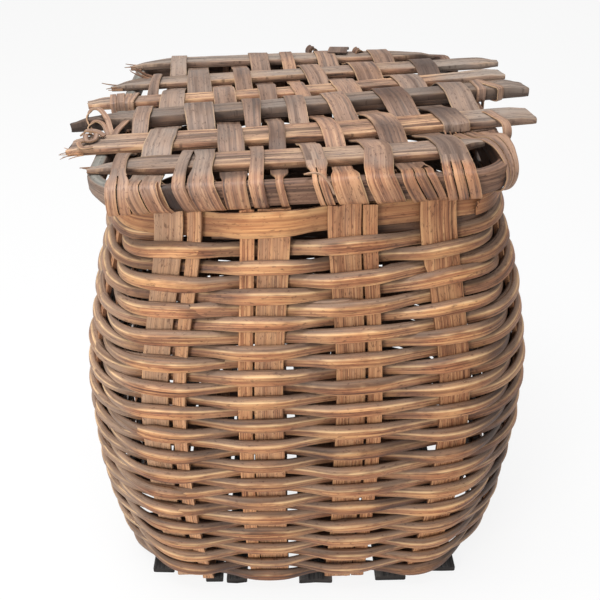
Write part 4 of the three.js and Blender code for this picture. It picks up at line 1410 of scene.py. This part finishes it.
# The knot and loose loops at the left end of a lath: points, faces and width of each band
KNOT = (
    (
        [(-158, -56, 9), (-167, -44, 14), (-171, -34, 19), (-168, -28, 24), (-161, -30, 25), (-154, -40, 21),
         (-150, -50, 14), (-148, -56, 8)],
        [LEFT, LEFT, LEFT, UP, UP, UP, UP, FORWARD], 4.2),
    (
        [(-163, -58, 12), (-168, -48, 15), (-164, -40, 18.5), (-157, -44, 17.5), (-153, -52, 13),
         (-152, -57, 8)],
        [LEFT, LEFT, UP, UP, UP, FORWARD], 3.6),
    (
        [(-160, -54, 9), (-164, -62, 15.5), (-165, -72, 19), (-162, -82, 18), (-157, -78, 17.5),
         (-158, -68, 19.5), (-166, -66, 20.5)],
        [UP] * 7, 4.0),
    ([(-170, -64, 16.5), (-164, -66, 20.5), (-156, -68, 20), (-151, -70, 16.5)], [UP] * 4, 4.4),
    ([(-163, -80, 17.5), (-167, -88, 19), (-163, -95, 17.2), (-156, -92, 16.6)], [UP] * 4, 3.4),
)


def knot_lashing():
    piece = Piece("lath_lashing_03")
    round_bar(piece, -1, LATHS[4], 18, -0.3, 4.5)
    for points, faces, width in KNOT:
        smooth_band(piece, points, faces, width)
    slivers(piece, (-168, -90, 12), (-1.0, -0.25, 0.0), 7, 14.0, 12.0, tone=0.85)
    piece.place("lid", "splint", piece.name)


right_lashing()
left_lashing()
knot_lashing()

# The loose end round the hoop's right front corner, split in three
LOOSE_POINTS = [
    (132, -72, 7.5), (139, -86, 8.3), (145, -99, 12.6), (148, -113, 13.4), (149.5, -127, 12.0),
    (151, -139, 6.0), (150.5, -143.5, -3), (146, -142, -11.0), (136, -133, -11.4), (130, -128, -7)]
LOOSE_FACES = [
    UP, UP, UP, (0.1, -0.1, 1), (0.25, -0.5, 1), (0.5, -1, 0.5), (0.6, -1, -0.1), (0.3, -0.6, -1), DOWN, LEFT]
LOOSE_WIDTHS = np.array([26.0, 26.0, 24.0, 19.0, 15.0, 12.0, 10.5, 10.0, 9.5, 9.0])
LOOSE_STRANDS = ((-0.5, -0.18, 0.0), (-0.13, 0.2, 0.4), (0.26, 0.5, 0.0))


def hoop_wrap():
    piece = Piece("hoop_wrap_right")
    for low, high, lift in LOOSE_STRANDS:
        smooth_band(
            piece, np.array(LOOSE_POINTS) + [0, 0, lift], LOOSE_FACES, (high - low) * LOOSE_WIDTHS, tone=0.5,
            shift=(low + high) / 2 * LOOSE_WIDTHS)
    piece.place("lid", "splint", piece.name)


hoop_wrap()

# Strips of the roll along the front bar that have sprung open, and curls at the back: the place,
# radius and turns of each
CURLS = ((20.4, 148.0, 5.4, 1.3), (66.0, 136.0, 4.6, 1.2))
CURL_HEIGHT = 14.5
CURL_WIDTH = 9.0
CURL_SWING = np.array([0.92, 0.4, 0.0])


def back_curl(piece, x, depth, radius, turns):
    share = np.linspace(0, 1, 26)
    angle = 2 * math.pi * turns * share + 0.5 * math.pi
    radii = radius * mix(1.0, 0.55, share)
    swung, risen = (radii * np.cos(angle))[:, None], (radii * np.sin(angle))[:, None]
    middle = np.array([x, depth, CURL_HEIGHT])
    path = middle + CURL_SWING * swung + np.array(UP) * risen
    piece.strip(
        path, facing(np.cross(CURL_SWING, UP), len(path)), unit(path - middle), CURL_WIDTH,
        SPLINT_THICKNESS, tone=0.3, ragged=(1.5, 1.5), weather=0.4)


def front_curl():
    piece = Piece("front_curl")
    flat = np.array(front_wrap(0.3, start=-60.0))
    # A near-black strip under the sprung roll: painted shade in its hollow
    shade_sheet = evenly(np.column_stack([np.linspace(-84.0, -95.0, len(flat)), flat]), 2.0)
    across, face = directions(shade_sheet, unit(outward(shade_sheet[:, 1:])))
    piece.strip(shade_sheet, across, face, 16.0, SPLINT_THICKNESS * 0.7, tone=0.07, ragged=(1.0, 1.5))
    pale_rim = [(-101, -148, 9.5), (-100.5, -156, 11.5), (-99, -161.5, 6), (-96.5, -161, -2), (-92, -158, -9)]
    rim_faces = [(1, -0.3, 1), (1, -1, 0.5), (1, -1, 0), (1, -1, -0.3), (1, -0.5, -1)]
    smooth_band(piece, pale_rim, rim_faces, 2.4, tone=0.95, thickness=1.0, weather=-0.2)
    strand = [
        (6, -150, 11.5), (2, -158, 15.5), (8, -161, 17.5), (14, -160, 15), (19, -160, 8), (22, -159.5, 0)]
    smooth_band(piece, strand, [UP, UP, UP, FORWARD, FORWARD, FORWARD], 1.6, tone=0.9, thickness=1.0)
    for sizes in CURLS:
        back_curl(piece, *sizes)
    raised = [(44, 128, 17.5), (46, 138, 18.5), (48, 148, 17.5), (49, 155, 12)]
    smooth_band(piece, raised, [UP, UP, UP, BACKWARD], 19.0, tone=0.34, thickness=1.2, weather=0.6)
    piece.place("lid", "splint")


front_curl()

# Ties: a ring round the back bar with a leg down each face of the band
BACK_CORNERS = (10.7, 8.3)
BACK_REACH = 95.0
TIE_ARC = (230, -50)
TIE_INSET = 0.6
TIE_ROOM = 1.0


def hinge_tie(name):
    low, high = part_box(name)
    piece = Piece(name)
    x = (low.x + high.x) / 2 / MM
    position = np.interp([x], [-BACK_REACH, BACK_REACH], BACK_CORNERS)
    inner = wall_at(position, np.array([BAND_MIDDLE]))[0][1] + UPRIGHT_THICKNESS / 2 - TIE_INSET
    outer = inner + STRIP_THICKNESS + 2 * TIE_THICKNESS + TIE_ROOM
    loop = ring(HINGE_Y, HOOP_CENTRE, HINGE_BAR / 2 + REST_GAP + TIE_THICKNESS, *TIE_ARC)
    path = [(inner, BAND_BOTTOM), (inner, BAND_TOP), *loop, (outer, BAND_TOP), (outer, BAND_BOTTOM)]
    flat = evenly(rounded(path, 3.0), 2.0)
    centres = np.column_stack([np.full(len(flat), x), flat])
    piece.strip(centres, facing(RIGHT, len(flat)), unit(outward(flat)), TIE_WIDTH, TIE_THICKNESS, tone=0.45)
    piece.place("basket", "tie", piece.name)


hinge_tie("hinge_tie_left")
hinge_tie("hinge_tie_right")

# Camera, floor and light, in metres
SENSOR = 36
CLIP = (0.01, 50)
WHITE = (1, 1, 1, 1)
FLOOR_REACH = 6.0
FLOOR_COLOUR = (0.82, 0.82, 0.82, 1)
FLOOR_ROUGHNESS = 0.9
FLOOR_WHITE = 0.86
WORLD_LIGHT = 0.55

# Lamps: place, what each points at, its size, power and tint
LAMPS = {
    "overhead": ((-0.3, -0.2, 1.9), (0, 0, 0.3), 1.1, 26.0, (0.97, 0.98, 1.0)),
    "front_left": ((-1.3, -1.6, 0.9), (0, 0, 0.2), 0.9, 22.0, (1.0, 0.97, 0.93)),
}


def added(name, data):
    made = bpy.data.objects.new(name, data)
    bpy.context.scene.collection.objects.link(made)
    return made


def look_from_photo():
    data = bpy.data.cameras.new("camera")
    data.sensor_width = SENSOR
    data.lens = SENSOR * CAMERA_FOCAL
    data.clip_start, data.clip_end = CLIP
    made = added("camera", data)
    made.location = [value * MM for value in CAMERA_PLACE]
    made.rotation_euler = (math.radians(90 - CAMERA_PITCH), 0, -math.radians(CAMERA_YAW))
    bpy.context.scene.camera = made


def softbox(name, place, target, size, power, tint):
    data = bpy.data.lights.new(name, "AREA")
    data.shape, data.size = "DISK", size
    data.energy, data.color = power, tint
    made = added(name, data)
    made.location = place
    towards = np.array(target, float) - np.array(place, float)
    tip = math.acos(-towards[2] / np.linalg.norm(towards))
    made.rotation_euler = (tip, 0, math.atan2(towards[1], towards[0]) - math.pi / 2)


def blend_shaders(tree, fac, first, second, output):
    blend = node(tree, "ShaderNodeMixShader")
    for source, socket in zip((fac, first, second), blend.inputs):
        tree.links.new(source, socket)
    tree.links.new(blend.outputs[0], tree.nodes[output].inputs["Surface"])


def white_floor():
    mesh = bpy.data.meshes.new("floor")
    corners = [(x * FLOOR_REACH, y * FLOOR_REACH, 0) for x, y in ((-1, -1), (1, -1), (1, 1), (-1, 1))]
    mesh.from_pydata(corners, [], [(0, 1, 2, 3)])
    floor = added("floor", mesh)
    material = bpy.data.materials.new("floor")
    material.use_nodes = True
    tree = material.node_tree
    surface = tree.nodes["Principled BSDF"]
    surface.inputs["Base Color"].default_value = FLOOR_COLOUR
    surface.inputs["Roughness"].default_value = FLOOR_ROUGHNESS
    rays = node(tree, "ShaderNodeLightPath")
    white = node(tree, "ShaderNodeEmission", Strength=1.0)
    either = node(tree, "ShaderNodeMath", operation="MAXIMUM")
    tree.links.new(rays.outputs["Is Camera Ray"], either.inputs[0])
    tree.links.new(rays.outputs["Is Glossy Ray"], either.inputs[1])
    part = node(tree, "ShaderNodeMath", operation="MULTIPLY")
    part.inputs[1].default_value = FLOOR_WHITE
    tree.links.new(either.outputs[0], part.inputs[0])
    blend_shaders(tree, part.outputs[0], surface.outputs[0], white.outputs[0], "Material Output")
    mesh.materials.append(material)


def white_world():
    world = bpy.data.worlds.new("world")
    bpy.context.scene.world = world
    world.use_nodes = True
    tree = world.node_tree
    soft, shown = tree.nodes["Background"], node(tree, "ShaderNodeBackground")
    for background, strength in ((soft, WORLD_LIGHT), (shown, 1.0)):
        background.inputs["Color"].default_value = WHITE
        background.inputs["Strength"].default_value = strength
    rays = node(tree, "ShaderNodeLightPath")
    blend_shaders(tree, rays.outputs["Is Camera Ray"], soft.outputs[0], shown.outputs[0], "World Output")


look_from_photo()
white_floor()
white_world()
for name, lamp in LAMPS.items():
    softbox(name, *lamp)
bpy.context.scene.view_settings.view_transform = "Standard"
